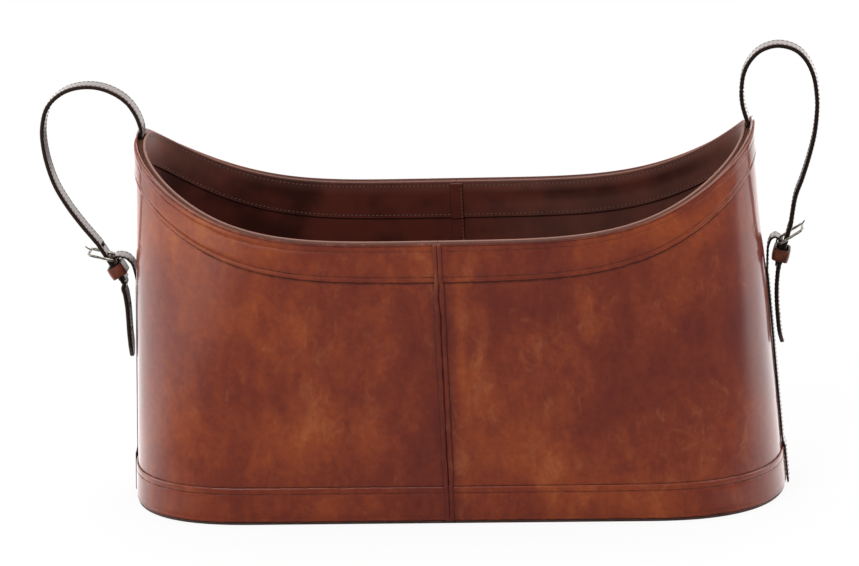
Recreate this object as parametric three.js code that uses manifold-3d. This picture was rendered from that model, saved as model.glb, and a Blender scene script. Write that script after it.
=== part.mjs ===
// Leather magazine basket: an oval tub of leather over board with a swept rim, and at each end
// a strap handle that runs from the rim to a buckle on the end wall.
// Millimetres, +Z up, the origin at the middle of the underside, +X along the basket's length.
import * as THREE from 'three';
import { mergeVertices } from 'three/addons/utils/BufferGeometryUtils.js';
import Module from 'manifold-3d';

const wasm = await Module();
wasm.setup();

// Tub: outline of the leather skin at the base and at the height of the end walls
const baseHalfLength = 229;
const baseHalfDepth = 78;
const baseEndReach = 95; // how much of the half length is rounded
const baseRoundness = 2.5; // exponent of the rounded end
const rimDrawInLength = 16; // the rim is this much inside the base at each end
const rimDrawInDepth = 3; // and this much at the front and the back
const rimRoundness = 2.9;
const endHeight = 259.5;
const middleHeight = 201.5;
const sweepPower = 4.3; // how late the rim turns up towards the ends
const sweepEase = 2.5; // and how soon it levels off there

// Leather, board and the glue lines between them
const bandThickness = 0.9;
const panelThickness = 1;
const liningThickness = 0.7;
const facingThickness = 0.8;
const glueLine = 0.3;
const topBandAtMiddle = 27.5;
const topBandAtEnds = 18.5;
const facingAtEnds = 24.5;
const bandTaper = 2; // how late the band and the facing narrow towards the ends
const bottomBandTop = 27; // height of the bottom band's upper edge
const coreRecess = 0.8; // the board stops below the leather's edges, which leaves a groove
const weltThickness = 1;
const weltWidth = 7.5;
const weltGrooveWidth = 1.2;
const weltGrooveDepth = 0.5;
const liningStripWidth = 9;
const liningStripThickness = 0.8;
const soleThickness = 2;
const soleInset = 1;
const boardThickness = 6;
const floorLiningThickness = 1.2;

// Handle strap
const strapWidth = 12.5;
const strapThickness = 2.8;
const rootDepth = 35; // how far the strap is let into the wall
const rootStandOut = 1;
const seatClearance = 0.3;
const swingGap = 0.9; // between two lengths of strap that bend against each other
const chapeGap = 1.2; // and between the strip on the wall and the chape
const straightAbove = 13; // flat stretch of strap above the buckle's bar
const straightBelow = 14.5; // and below it, through the keeper
const tailDrop = 57;
const tailStand = 4.2; // tail's middle line off the skin
const tipLength = 9;
const tipFlat = 3;
const tailHoleDrops = [20, 38]; // holes down the tail, from its upper end
const holeLength = 4.4;
const holeWidth = 2.8;

// Strap down the end wall, whose free upper end is the chape that holds the buckle
const stripThickness = 1.4;
const stripDrop = 103.5; // it leaves the wall this far below the wall's top
const bandStep = 5; // rise over which it steps off the bottom band
const flapLength = 16;

// Buckle, prong and keeper
const wireRadius = 0.95;
const wrapClearance = 0.3;
const frameLength = 19; // between the middles of the heel bar and the front bar
const frameSideClearance = 0.7;
const frameCornerRadius = 2.4;
const prongRadius = 0.85;
const prongTipRadius = 0.5;
const prongTipReach = 3;
const eyeClearance = 0.25;
const eyeWall = 1.1;
const prongSlotClearance = 0.5;
const prongSlotReach = 6.5; // how far from the bar the chape's slot for the prong goes
const prongPlay = 1.8; // room for the prong across its hole
const keeperStart = 3.5;
const keeperHeight = 8.5;
const keeperWall = 1.6;
const keeperClearance = 0.4;
const keeperSlack = 1.8; // it is loose round the thickness of the straps

// Heel bars and loops. The bars hang from the rim, by so much, and stand off the skin.
const leftBarDrop = 88.5;
const leftBarStand = 14.8;
const leftLoopReach = 69.2;
const leftLoopRise = 36.5; // top of the loop above the wall's top
const leftArchRise = 2.6; // top of the chape above the heel bar
const rightBarDrop = 84.5;
const rightBarStand = 9.4;
const rightLoopReach = 46.9;
const rightLoopRise = 55.5;
const rightArchRise = 4.6;

const cutOverrun = 3;
const straightColumns = 4;
const roundColumns = 11;
const wallRows = 5;
const outlineSteps = 40;
const stepsPerPoint = 8; // of a curve whose length is measured
const strapSteps = 40;
const tailSteps = 10;
const archSteps = 12;
const wrapSteps = 5;
const cornerSteps = 3;
const roundSides = 16;
const wireSides = 8;

// The two handles hang differently. Angles are in degrees above the outward horizontal.
const sides = [
  {
    name: 'left', sign: -1, barDrop: leftBarDrop, barStand: leftBarStand,
    frameTilt: 14, strapTilt: 61, loopReach: leftLoopReach, loopRise: leftLoopRise,
    loopShares: [[0, 0.763], [0.04, 0.834], [0.12, 0.905], [0.24, 0.958], [0.39, 0.992], [0.55, 1],
      [0.71, 0.982], [0.845, 0.938], [0.94, 0.874], [0.99, 0.783], [1, 0.691], [0.975, 0.57],
      [0.91, 0.438], [0.805, 0.321], [0.68, 0.213], [0.555, 0.119]],
    tailShares: [[0.105, 2.25], [0.18, 1.95], [0.34, 1.62], [0.5, 1.45], [0.68, 1.31], [0.83, 1.12],
      [1, 0.97]],
    archRise: leftArchRise,
    archShares: [[0.18, -1.7], [0.325, -0.38], [0.47, 0.42], [0.7, 0.85], [0.93, 0.92]],
    wrapStart: 45,
  },
  {
    name: 'right', sign: 1, barDrop: rightBarDrop, barStand: rightBarStand,
    frameTilt: 32, strapTilt: 74, loopReach: rightLoopReach, loopRise: rightLoopRise,
    loopShares: [[-0.04, 0.658], [-0.077, 0.716], [-0.083, 0.781], [-0.046, 0.86], [0.05, 0.926],
      [0.215, 0.978], [0.45, 1], [0.69, 0.98], [0.857, 0.926], [0.963, 0.842], [1, 0.744],
      [0.996, 0.66], [0.954, 0.551], [0.872, 0.442], [0.764, 0.33], [0.656, 0.232]],
    tailShares: [[0.096, 1.62], [0.257, 1.26], [0.42, 1.07], [0.58, 1], [0.82, 1.03], [1, 1.33]],
    archRise: rightArchRise,
    archShares: [[0.16, -1.25], [0.24, -0.25], [0.42, 0.62], [0.7, 1], [0.95, 0.78]],
    wrapStart: 40,
  },
];

const rimHalfLength = baseHalfLength - rimDrawInLength;
const rimHalfDepth = baseHalfDepth - rimDrawInDepth;
const stripTop = endHeight - stripDrop;

// Depths below the leather's outer face, layer by layer
const coreThickness = strapThickness + 2 * seatClearance; // the strap is let through the board
const panelDepth = bandThickness + glueLine;
const coreDepth = panelDepth + panelThickness + glueLine;
const liningDepth = coreDepth + coreThickness + glueLine;
const facingDepth = liningDepth + liningThickness + glueLine;
const wallFoot = soleThickness + glueLine;
const boardTop = wallFoot + boardThickness;
const floorTop = boardTop + glueLine + floorLiningThickness;

const finishes = {
  skin: { color: 0x7d4029, roughness: 0.38 },
  trim: { color: 0x6f3522, roughness: 0.42 },
  lining: { color: 0x3c1f1a, roughness: 0.6 },
  board: { color: 0x8c7a62, roughness: 0.9 },
  strap: { color: 0x3a211b, roughness: 0.45 },
  sole: { color: 0x2b1712, roughness: 0.7 },
  metal: { color: 0x9a9080, roughness: 0.35, metalness: 1 },
};

const basket = new THREE.Group();

function addPiece(name, geometry, finish, parent = basket) {
  const mesh = new THREE.Mesh(geometry, new THREE.MeshStandardMaterial(finishes[finish]));
  mesh.name = name;
  parent.add(mesh);
}

function toSolid(geometry) {
  const bare = new THREE.BufferGeometry();
  bare.setAttribute('position', geometry.getAttribute('position').clone());
  bare.setIndex(geometry.getIndex());
  const merged = mergeVertices(bare);
  const vertProperties = merged.getAttribute('position').array;
  const triVerts = new Uint32Array(merged.getIndex().array);
  return new wasm.Manifold(new wasm.Mesh({ numProp: 3, vertProperties, triVerts }));
}

function toGeometry(solid) {
  const { vertProperties, triVerts } = solid.getMesh();
  const geometry = new THREE.BufferGeometry();
  geometry.setAttribute('position', new THREE.BufferAttribute(vertProperties, 3));
  geometry.setIndex(new THREE.BufferAttribute(triVerts, 1));
  return geometry.toNonIndexed();
}

const cut = (geometry, cutters) =>
  toGeometry(cutters.reduce((left, cutter) => left.subtract(toSolid(cutter)), toSolid(geometry)));

// A quarter of an oval outline, from the middle of the front to the middle of the right end
function quarterOutline(halfLength, halfDepth, endReach, roundness) {
  const straight = halfLength - endReach;
  const points = [];
  for (let i = 0; i < outlineSteps && straight > 0; i += 1) {
    points.push(new THREE.Vector2((straight * i) / outlineSteps, -halfDepth));
  }
  for (let i = 0; i <= outlineSteps; i += 1) {
    const angle = (Math.PI / 2) * (i / outlineSteps);
    const x = straight + endReach * Math.sin(angle) ** (2 / roundness);
    const y = -halfDepth * Math.cos(angle) ** (2 / roundness);
    points.push(new THREE.Vector2(x, y));
  }
  const curve = new THREE.SplineCurve(points);
  curve.arcLengthDivisions = points.length * stepsPerPoint;
  return curve;
}

const baseQuarter = quarterOutline(baseHalfLength, baseHalfDepth, baseEndReach, baseRoundness);
const rimQuarter = quarterOutline(rimHalfLength, rimHalfDepth, rimHalfLength, rimRoundness);

// The wall's columns: the same share of each outline's length, wide apart where it is straight
const quarterColumns = straightColumns + roundColumns;
const ringColumns = 4 * quarterColumns;
const straightShare = (baseHalfLength - baseEndReach) / baseQuarter.getLength();
const quarterPoints = Array.from({ length: quarterColumns + 1 }, (_, i) => {
  const share = i < straightColumns
    ? (straightShare * i) / straightColumns
    : straightShare + ((1 - straightShare) * (i - straightColumns)) / roundColumns;
  return { share, base: baseQuarter.getPointAt(share), rim: rimQuarter.getPointAt(share) };
});

// Columns run round the tub from the middle of the front, by the right end, the back and the left
function columnLine(index) {
  const column = ((index % ringColumns) + ringColumns) % ringColumns;
  const quarter = Math.floor(column / quarterColumns);
  const step = column % quarterColumns;
  const { share, base, rim } = quarterPoints[quarter % 2 === 0 ? step : quarterColumns - step];
  const flip = new THREE.Vector2(quarter < 2 ? 1 : -1, quarter === 0 || quarter === 3 ? 1 : -1);
  return { share, base: base.clone().multiply(flip), rim: rim.clone().multiply(flip) };
}

function skinPoint(index, height) {
  const { base, rim } = columnLine(index);
  return base.lerp(rim, height / endHeight);
}

function rimHeight(index) {
  const { share } = columnLine(index);
  const rise = 1 - (1 - share ** sweepPower) ** sweepEase;
  return middleHeight + (endHeight - middleHeight) * rise;
}

// How far the band, or the facing inside, reaches down from the rim
function bandHeight(index, atEnds) {
  const { share } = columnLine(index);
  return topBandAtMiddle + (atEnds - topBandAtMiddle) * share ** bandTaper;
}

// A point of the wall, so deep below the leather's outer face
function wallPoint(index, height, depth) {
  const along = skinPoint(index + 1, height).sub(skinPoint(index - 1, height)).normalize();
  const point = skinPoint(index, height).add(new THREE.Vector2(-along.y, along.x).multiplyScalar(depth));
  return new THREE.Vector3(point.x, point.y, height);
}

// A closed sheet of two faces, each a grid of points, sewn together round their edges
function sheetBetween(outer, inner) {
  const rows = outer.length;
  const columns = outer[0].length;
  const positions = [];
  const face = (a, b, c, d) => [a, b, c, a, c, d].forEach((p) => positions.push(p.x, p.y, p.z));
  for (let r = 0; r < rows - 1; r += 1) {
    for (let c = 0; c < columns - 1; c += 1) {
      face(outer[r][c], outer[r][c + 1], outer[r + 1][c + 1], outer[r + 1][c]);
      face(inner[r][c], inner[r + 1][c], inner[r + 1][c + 1], inner[r][c + 1]);
    }
  }
  for (let c = 0; c < columns - 1; c += 1) {
    face(outer[0][c], inner[0][c], inner[0][c + 1], outer[0][c + 1]);
    face(outer[rows - 1][c], outer[rows - 1][c + 1], inner[rows - 1][c + 1], inner[rows - 1][c]);
  }
  const last = columns - 1;
  for (let r = 0; r < rows - 1; r += 1) {
    face(outer[r][0], outer[r + 1][0], inner[r + 1][0], inner[r][0]);
    face(outer[r][last], inner[r][last], inner[r + 1][last], outer[r + 1][last]);
  }
  const geometry = new THREE.BufferGeometry();
  geometry.setAttribute('position', new THREE.Float32BufferAttribute(positions, 3));
  return geometry;
}

// One half of a layer of the wall, from the seam at the front to the seam at the back
function halfLayer(sign, depth, thickness, footOf, topOf, rows) {
  const first = sign > 0 ? 0 : 2 * quarterColumns;
  const grid = (faceDepth) => Array.from({ length: rows + 1 }, (_, r) =>
    Array.from({ length: 2 * quarterColumns + 1 }, (_unused, c) => {
      const index = first + c;
      const height = footOf(index) + ((topOf(index) - footOf(index)) * r) / rows;
      const point = wallPoint(index, height, faceDepth);
      const atSeam = c === 0 || c === 2 * quarterColumns;
      if (atSeam) point.x = (sign * glueLine) / 2;
      return point;
    }));
  return sheetBetween(grid(depth), grid(depth + thickness));
}

// A flat layer of the base, whose edge follows the wall
function slab(depth, foot, thickness) {
  const ring = (height) =>
    Array.from({ length: ringColumns }, (_, c) => wallPoint(c, height, depth));
  const lower = ring(foot);
  const upper = ring(foot + thickness);
  const positions = [];
  const face = (a, b, c) => [a, b, c].forEach((p) => positions.push(p.x, p.y, p.z));
  const lowMiddle = new THREE.Vector3(0, 0, foot);
  const highMiddle = new THREE.Vector3(0, 0, foot + thickness);
  lower.forEach((point, c) => {
    const next = (c + 1) % ringColumns;
    face(point, lower[next], upper[next]);
    face(point, upper[next], upper[c]);
    face(lowMiddle, lower[next], point);
    face(highMiddle, upper[c], upper[next]);
  });
  const geometry = new THREE.BufferGeometry();
  geometry.setAttribute('position', new THREE.Float32BufferAttribute(positions, 3));
  return geometry;
}

// Shapes drawn in a side view are extruded across the basket or along it
function extrudeAcross(points, width) {
  const shape = new THREE.Shape(points);
  const geometry = new THREE.ExtrudeGeometry(shape, { depth: width, bevelEnabled: false });
  return geometry.rotateX(Math.PI / 2).translate(0, width / 2, 0);
}

function extrudeAlong(points, width) {
  const shape = new THREE.Shape(points);
  const geometry = new THREE.ExtrudeGeometry(shape, { depth: width, bevelEnabled: false });
  return geometry.rotateX(Math.PI / 2).rotateZ(Math.PI / 2).translate(-width / 2, 0, 0);
}

// The two long edges of a strap that follows a line, seen from its side
function strapOutline(line, thickness) {
  const edge = (side) => line.map((point, i) => {
    const before = line[Math.max(i - 1, 0)];
    const after = line[Math.min(i + 1, line.length - 1)];
    const along = after.clone().sub(before).normalize();
    return point.clone().add(new THREE.Vector2(-along.y, along.x).multiplyScalar((side * thickness) / 2));
  });
  return [...edge(1), ...edge(-1).reverse()];
}

// Tub

const sole = slab(soleInset, 0, soleThickness);
const board = slab(liningDepth, wallFoot, boardThickness);
const floorLining = slab(facingDepth, boardTop + glueLine, floorLiningThickness);
addPiece('base_sole', sole, 'sole');
addPiece('base_board', board, 'board');
addPiece('floor_lining', floorLining, 'lining');

const atFoot = () => wallFoot;
const atLiningFoot = () => boardTop + glueLine;
const atRim = (index) => rimHeight(index);
const belowBand = (index) => rimHeight(index) - bandHeight(index, topBandAtEnds);
const belowFacing = (index) => rimHeight(index) - bandHeight(index, facingAtEnds);
const atCoreTop = (index) => rimHeight(index) - coreRecess;
const wallSlope = Math.atan(rimDrawInLength / endHeight);
const skinReach = (height) => baseHalfLength - (rimDrawInLength * height) / endHeight;

// The root of a handle strap lies between the leathers, in a slot in the board
const rootLength = rootDepth + rootStandOut;
const rootLean = coreDepth + coreThickness / 2;
function rootBlock(sign, width, thickness, length) {
  const block = new THREE.BoxGeometry(thickness, width, length);
  const middle = endHeight + rootStandOut - rootLength / 2;
  return block.rotateY(-sign * wallSlope).translate(sign * (skinReach(middle) - rootLean), 0, middle);
}

sides.forEach(({ name, sign }) => {
  const layer = (depth, thickness, footOf, topOf, rows) =>
    halfLayer(sign, depth, thickness, footOf, topOf, rows);
  const core = layer(coreDepth, coreThickness, atFoot, atCoreTop, wallRows);
  const slotWidth = strapWidth + 2 * seatClearance;
  const slot = rootBlock(sign, slotWidth, coreThickness + cutOverrun, rootLength + 2 * seatClearance);
  addPiece(`${name}_wall_core`, cut(core, [slot]), 'board');
  addPiece(`${name}_outer_panel`, layer(panelDepth, panelThickness, atFoot, atRim, wallRows), 'skin');
  addPiece(`${name}_top_band`, layer(0, bandThickness, belowBand, atRim, 1), 'skin');
  addPiece(`${name}_bottom_band`, layer(0, bandThickness, atFoot, () => bottomBandTop, 1), 'skin');
  addPiece(`${name}_lining`, layer(liningDepth, liningThickness, atLiningFoot, atRim, wallRows), 'lining');
  addPiece(`${name}_facing`, layer(facingDepth, facingThickness, belowFacing, atRim, 1), 'lining');
  addPiece(`${name}_strap_root`, rootBlock(sign, strapWidth, strapThickness, rootLength), 'strap');
});

// Seam strips at the middle of the front and the back, outside and inside the wall.
// A place is given as its distance outside the leather's outer face and its height.
const depthSlope = rimDrawInDepth / endHeight;
const bandFoot = middleHeight - topBandAtMiddle;
function seamPoints(sign, places) {
  return places.map(([stand, height]) =>
    new THREE.Vector2(sign * (baseHalfDepth - depthSlope * height + stand), height));
}

const weltFace = glueLine + weltThickness;
const overPanel = glueLine - panelDepth;
const weltPlaces = [
  [glueLine, wallFoot], [weltFace, wallFoot], [weltFace, middleHeight], [glueLine, middleHeight],
  [glueLine, bandFoot - glueLine], [overPanel, bandFoot - glueLine],
  [overPanel, bottomBandTop + glueLine], [glueLine, bottomBandTop + glueLine],
];
const groovePlaces = [
  [weltFace - weltGrooveDepth, wallFoot - cutOverrun], [weltFace + cutOverrun, wallFoot - cutOverrun],
  [weltFace + cutOverrun, middleHeight + cutOverrun],
  [weltFace - weltGrooveDepth, middleHeight + cutOverrun],
];
const onLining = -liningDepth - liningThickness - glueLine;
const onFacing = -facingDepth - facingThickness - glueLine;
const liningStripPlaces = [
  [onLining, floorTop + glueLine], [onLining, bandFoot - glueLine], [onFacing, bandFoot - glueLine],
  [onFacing, middleHeight], [onFacing - liningStripThickness, middleHeight],
  [onFacing - liningStripThickness, floorTop + glueLine],
];
[['front', -1], ['back', 1]].forEach(([name, sign]) => {
  const welt = extrudeAlong(seamPoints(sign, weltPlaces), weltWidth);
  const groove = extrudeAlong(seamPoints(sign, groovePlaces), weltGrooveWidth);
  const strip = extrudeAlong(seamPoints(sign, liningStripPlaces), liningStripWidth);
  addPiece(`${name}_seam_welt`, cut(welt, [groove]), 'skin');
  addPiece(`${name}_lining_strip`, strip, 'lining');
});

// Handles

const wrapRadius = wireRadius + wrapClearance + stripThickness / 2;
const strapOffset = wrapRadius + stripThickness / 2 + glueLine + strapThickness / 2;
const direction = (degrees) => {
  const angle = THREE.MathUtils.degToRad(degrees);
  return new THREE.Vector2(Math.cos(angle), Math.sin(angle));
};

// A prism with an oval section, along a direction in the side view
function ovalCutter(middle, along, length, height, width) {
  const shape = new THREE.Shape().absellipse(0, 0, width / 2, height / 2, 0, 2 * Math.PI);
  const options = { depth: length, bevelEnabled: false, curveSegments: roundSides / 4 };
  const geometry = new THREE.ExtrudeGeometry(shape, options).translate(0, 0, -length / 2);
  const basis = new THREE.Matrix4().makeBasis(
    new THREE.Vector3(0, 1, 0),
    new THREE.Vector3(-along.y, 0, along.x),
    new THREE.Vector3(along.x, 0, along.y),
  );
  return geometry.applyMatrix4(basis).translate(middle.x, 0, middle.y);
}

// A rounded rectangle's points, corner by corner
function roundedRectangle(left, low, right, high, radius, steps) {
  const corners = [[right, high, 0], [left, high, 1], [left, low, 2], [right, low, 3]];
  return corners.flatMap(([x, y, quarter]) => Array.from({ length: steps + 1 }, (_, i) => {
    const way = direction(90 * (quarter + i / steps));
    const centre = new THREE.Vector2(
      x - radius * (x === right ? 1 : -1),
      y - radius * (y === high ? 1 : -1),
    );
    return centre.addScaledVector(way, radius);
  }));
}

// A closed ring of round wire along flat points
function wireRing(points, radius) {
  const rings = points.map((point, i) => {
    const before = points[(i + points.length - 1) % points.length];
    const after = points[(i + 1) % points.length];
    const way = after.clone().sub(before).normalize();
    return Array.from({ length: wireSides }, (_, k) => {
      const round = direction((360 * k) / wireSides).multiplyScalar(radius);
      return new THREE.Vector3(point.x + way.y * round.x, point.y - way.x * round.x, round.y);
    });
  });
  const positions = [];
  rings.forEach((ring, i) => {
    const next = rings[(i + 1) % rings.length];
    ring.forEach((a, k) => {
      const m = (k + 1) % wireSides;
      [a, next[k], next[m], a, next[m], ring[m]].forEach((p) => positions.push(p.x, p.y, p.z));
    });
  });
  const geometry = new THREE.BufferGeometry();
  geometry.setAttribute('position', new THREE.Float32BufferAttribute(positions, 3));
  return geometry;
}

function buildHandle(side) {
  const { name, sign, barStand, frameTilt, strapTilt } = side;
  const barHeight = endHeight - side.barDrop;
  const place = new THREE.Group();
  place.scale.x = sign;
  basket.add(place);
  const add = (part, geometry, finish, parent = place) =>
    addPiece(`${name}_${part}`, geometry, finish, parent);

  // The strap runs straight past the bar; places on it are given along it and outside the bar
  const bar = new THREE.Vector2(skinReach(barHeight) + barStand, barHeight);
  const strapWay = direction(strapTilt);
  const outward = direction(strapTilt - 90);
  const byStrap = (along, stand) =>
    bar.clone().addScaledVector(strapWay, along).addScaledVector(outward, stand);

  // The prong lies over the front bar and goes through the strap
  const frameWay = direction(frameTilt);
  const prongRest = wireRadius + glueLine + prongRadius;
  const crossing = THREE.MathUtils.degToRad(strapTilt - frameTilt);
  const holeAlong = (prongRest + strapOffset * Math.cos(crossing)) / Math.sin(crossing);
  const prongRoom = 2 * (prongRadius + prongPlay);
  const prongHole = ovalCutter(byStrap(holeAlong, strapOffset), frameWay,
    2 * strapThickness / Math.sin(crossing) + cutOverrun, prongRoom, holeWidth);

  // Handle strap
  const rootTop = endHeight + rootStandOut;
  const start = new THREE.Vector2(skinReach(rootTop) - rootLean, rootTop + swingGap);
  const loopHeight = side.barDrop + side.loopRise;
  const loop = new THREE.SplineCurve([
    start,
    ...side.loopShares.map(([reach, rise]) =>
      new THREE.Vector2(start.x + reach * side.loopReach, barHeight + rise * loopHeight)),
    byStrap(straightAbove + strapThickness, strapOffset),
    byStrap(straightAbove, strapOffset),
  ]);
  const strapLine = [...loop.getSpacedPoints(strapSteps), byStrap(-straightBelow, strapOffset)];
  const strap = extrudeAcross(strapOutline(strapLine, strapThickness), strapWidth);
  add('handle_strap', cut(strap, [prongHole]), 'strap');

  // Its free end, which tapers to a blunt tip
  const tailTop = byStrap(-straightBelow - swingGap, strapOffset);
  const tailCurve = new THREE.SplineCurve([
    tailTop,
    byStrap(-straightBelow - swingGap - strapThickness, strapOffset),
    ...side.tailShares.map(([drop, stand]) => {
      const height = tailTop.y - drop * tailDrop;
      return new THREE.Vector2(skinReach(height) + stand * tailStand, height);
    }),
  ]);
  const tailLine = tailCurve.getSpacedPoints(tailSteps);
  const tail = extrudeAcross(strapOutline(tailLine, strapThickness), strapWidth);
  const tipHeight = tailTop.y - tailDrop;
  const tipWedges = [-1, 1].map((flank) => {
    const edge = flank * (strapWidth / 2);
    const rise = (tipLength * cutOverrun) / (strapWidth / 2 - tipFlat / 2);
    const geometry = extrudeAlong([
      new THREE.Vector2((flank * tipFlat) / 2, tipHeight),
      new THREE.Vector2(edge + flank * cutOverrun, tipHeight + tipLength + rise),
      new THREE.Vector2(edge + flank * cutOverrun, tipHeight - cutOverrun),
      new THREE.Vector2((flank * tipFlat) / 2, tipHeight - cutOverrun),
    ], 4 * tailStand + 2 * strapThickness);
    return geometry.translate(skinReach(tipHeight) + tailStand, 0, 0);
  });
  const tailLength = tailCurve.getLength();
  const tailHoles = tailHoleDrops.map((drop) => {
    const share = Math.min(drop / tailLength, 1);
    const along = tailCurve.getTangentAt(share);
    const across = new THREE.Vector2(-along.y, along.x);
    const middle = tailCurve.getPointAt(share);
    return ovalCutter(middle, across, strapThickness + cutOverrun, holeLength, holeWidth);
  });
  add('strap_tail', cut(tail, [...tipWedges, ...tailHoles]), 'strap');

  // Strip down the end wall and the chape that it becomes above the place where it bends
  const onBand = (height) =>
    new THREE.Vector2(skinReach(height) + glueLine + stripThickness / 2, height);
  const onPanel = (height) => onBand(height).sub(new THREE.Vector2(panelDepth, 0));
  const archPoints = side.archShares.map(([reach, rise]) =>
    new THREE.Vector2(skinReach(barHeight) + reach * barStand, barHeight + rise * side.archRise));
  const wrapTurn = strapTilt - 90 - side.wrapStart;
  const wrapPoints = Array.from({ length: wrapSteps + 1 }, (_, i) => {
    const way = direction(side.wrapStart + (wrapTurn * i) / wrapSteps);
    return bar.clone().addScaledVector(way, wrapRadius);
  });
  const arch = new THREE.SplineCurve([
    onPanel(stripTop - bandStep), onPanel(stripTop), ...archPoints, wrapPoints[0],
  ]);
  const bend = 2 / (arch.points.length - 1);
  const archPart = (from, to) => Array.from({ length: archSteps + 1 }, (_, i) =>
    arch.getPoint(from + ((to - from) * i) / archSteps));
  const trimmed = (points) => {
    const way = points[1].clone().sub(points[0]).normalize();
    return [points[0].clone().addScaledVector(way, chapeGap / 2), ...points.slice(1)];
  };
  const stripLine = [
    onBand(glueLine), onBand(bottomBandTop + glueLine), onPanel(bottomBandTop + glueLine + bandStep),
    ...trimmed(archPart(0, bend).reverse()).reverse(),
  ];
  add('end_strap', extrudeAcross(strapOutline(stripLine, stripThickness), strapWidth), 'strap');
  const chapeLine = [
    ...trimmed(archPart(bend, 1)), ...wrapPoints.slice(1), byStrap(-flapLength, wrapRadius),
  ];
  const chape = extrudeAcross(strapOutline(chapeLine, stripThickness), strapWidth);
  const prongSlot = new THREE.CylinderGeometry(prongSlotReach, prongSlotReach,
    2 * (prongRadius + prongSlotClearance), roundSides).translate(bar.x, 0, bar.y);
  add('chape', cut(chape, [prongSlot]), 'strap');

  // Keeper, round the strap and the chape's flap
  const keeperPlace = new THREE.Group();
  keeperPlace.position.set(bar.x, 0, bar.y);
  keeperPlace.rotation.y = -THREE.MathUtils.degToRad(strapTilt);
  place.add(keeperPlace);
  const half = strapWidth / 2 + keeperClearance;
  const low = -(strapOffset + strapThickness / 2 + keeperSlack);
  const high = -(wrapRadius - stripThickness / 2 - keeperSlack);
  const sleeve = (points, overrun) => {
    const options = { depth: keeperHeight + 2 * overrun, bevelEnabled: false };
    const geometry = new THREE.ExtrudeGeometry(new THREE.Shape(points), options);
    return geometry.applyMatrix4(new THREE.Matrix4().makeBasis(
      new THREE.Vector3(0, 1, 0),
      new THREE.Vector3(0, 0, 1),
      new THREE.Vector3(1, 0, 0),
    )).translate(-keeperStart - keeperHeight - overrun, 0, 0);
  };
  const outside = roundedRectangle(-half - keeperWall, low - keeperWall,
    half + keeperWall, high + keeperWall, keeperWall, cornerSteps);
  const bore = [[-half, low], [half, low], [half, high], [-half, high]];
  const boreOutline = bore.map(([x, y]) => new THREE.Vector2(x, y));
  const keeper = cut(sleeve(outside, 0), [sleeve(boreOutline, cutOverrun)]);
  add('keeper', keeper, 'strap', keeperPlace);

  // Buckle frame and prong, with the heel bar's middle as their origin
  const buckle = new THREE.Group();
  buckle.position.copy(keeperPlace.position);
  buckle.rotation.y = -THREE.MathUtils.degToRad(frameTilt);
  place.add(buckle);
  const armReach = strapWidth / 2 + frameSideClearance + wireRadius;
  const framePoints = roundedRectangle(0, -armReach, frameLength, armReach, frameCornerRadius, cornerSteps);
  add('buckle_frame', wireRing(framePoints, wireRadius), 'metal', buckle);

  const eyeInner = wireRadius + eyeClearance;
  const eye = new THREE.LatheGeometry([
    [eyeInner, -prongRadius], [eyeInner + eyeWall, -prongRadius], [eyeInner + eyeWall, prongRadius],
    [eyeInner, prongRadius], [eyeInner, -prongRadius],
  ].map(([x, y]) => new THREE.Vector2(x, y)), roundSides);
  const shankLength = frameLength + prongTipReach;
  const shank = new THREE.CylinderGeometry(prongTipRadius, prongRadius, shankLength, wireSides)
    .rotateZ(-Math.PI / 2).translate(shankLength / 2, 0, prongRest);
  add('prong', toGeometry(toSolid(eye).add(toSolid(shank))), 'metal', buckle);
}

sides.forEach(buildHandle);

export default basket;
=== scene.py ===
import bisect
import math
import re
from functools import lru_cache

import bmesh
import bpy
from mathutils import Matrix, Vector, noise


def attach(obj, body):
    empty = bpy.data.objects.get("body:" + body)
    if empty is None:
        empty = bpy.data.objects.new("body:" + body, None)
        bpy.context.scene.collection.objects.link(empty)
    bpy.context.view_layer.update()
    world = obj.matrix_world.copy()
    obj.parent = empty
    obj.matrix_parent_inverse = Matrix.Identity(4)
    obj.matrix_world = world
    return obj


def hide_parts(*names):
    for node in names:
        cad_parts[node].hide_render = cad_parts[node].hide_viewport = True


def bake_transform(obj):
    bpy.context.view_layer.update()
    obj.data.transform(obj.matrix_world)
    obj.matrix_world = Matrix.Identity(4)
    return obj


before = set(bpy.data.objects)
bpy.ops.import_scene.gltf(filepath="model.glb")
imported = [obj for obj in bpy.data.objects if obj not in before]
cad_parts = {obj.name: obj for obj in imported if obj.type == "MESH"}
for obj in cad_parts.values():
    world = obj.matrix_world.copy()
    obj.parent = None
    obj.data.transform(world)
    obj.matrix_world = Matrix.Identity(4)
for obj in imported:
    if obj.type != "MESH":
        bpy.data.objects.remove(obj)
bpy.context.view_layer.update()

scene = bpy.context.scene
millimetre = 0.001  # sizes are in millimetres and turn into metres when a piece is finished


# Camera

view = {
    "place": (0.30609, -2.82429, 1.09281),  # metres
    "turn": (71.602, 2.801, 5.550),  # degrees
    "lens": 181.0,
    "sensor": 36.0,
}


def placeCamera():
    camera = bpy.data.objects.new("camera", bpy.data.cameras.new("camera"))
    camera.data.lens = view["lens"]
    camera.data.sensor_width = view["sensor"]
    camera.location = view["place"]
    camera.rotation_euler = [math.radians(angle) for angle in view["turn"]]
    scene.collection.objects.link(camera)
    scene.camera = camera


placeCamera()
print("camera placed")


# Shader maths: a value or colour on its way through the nodes

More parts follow.
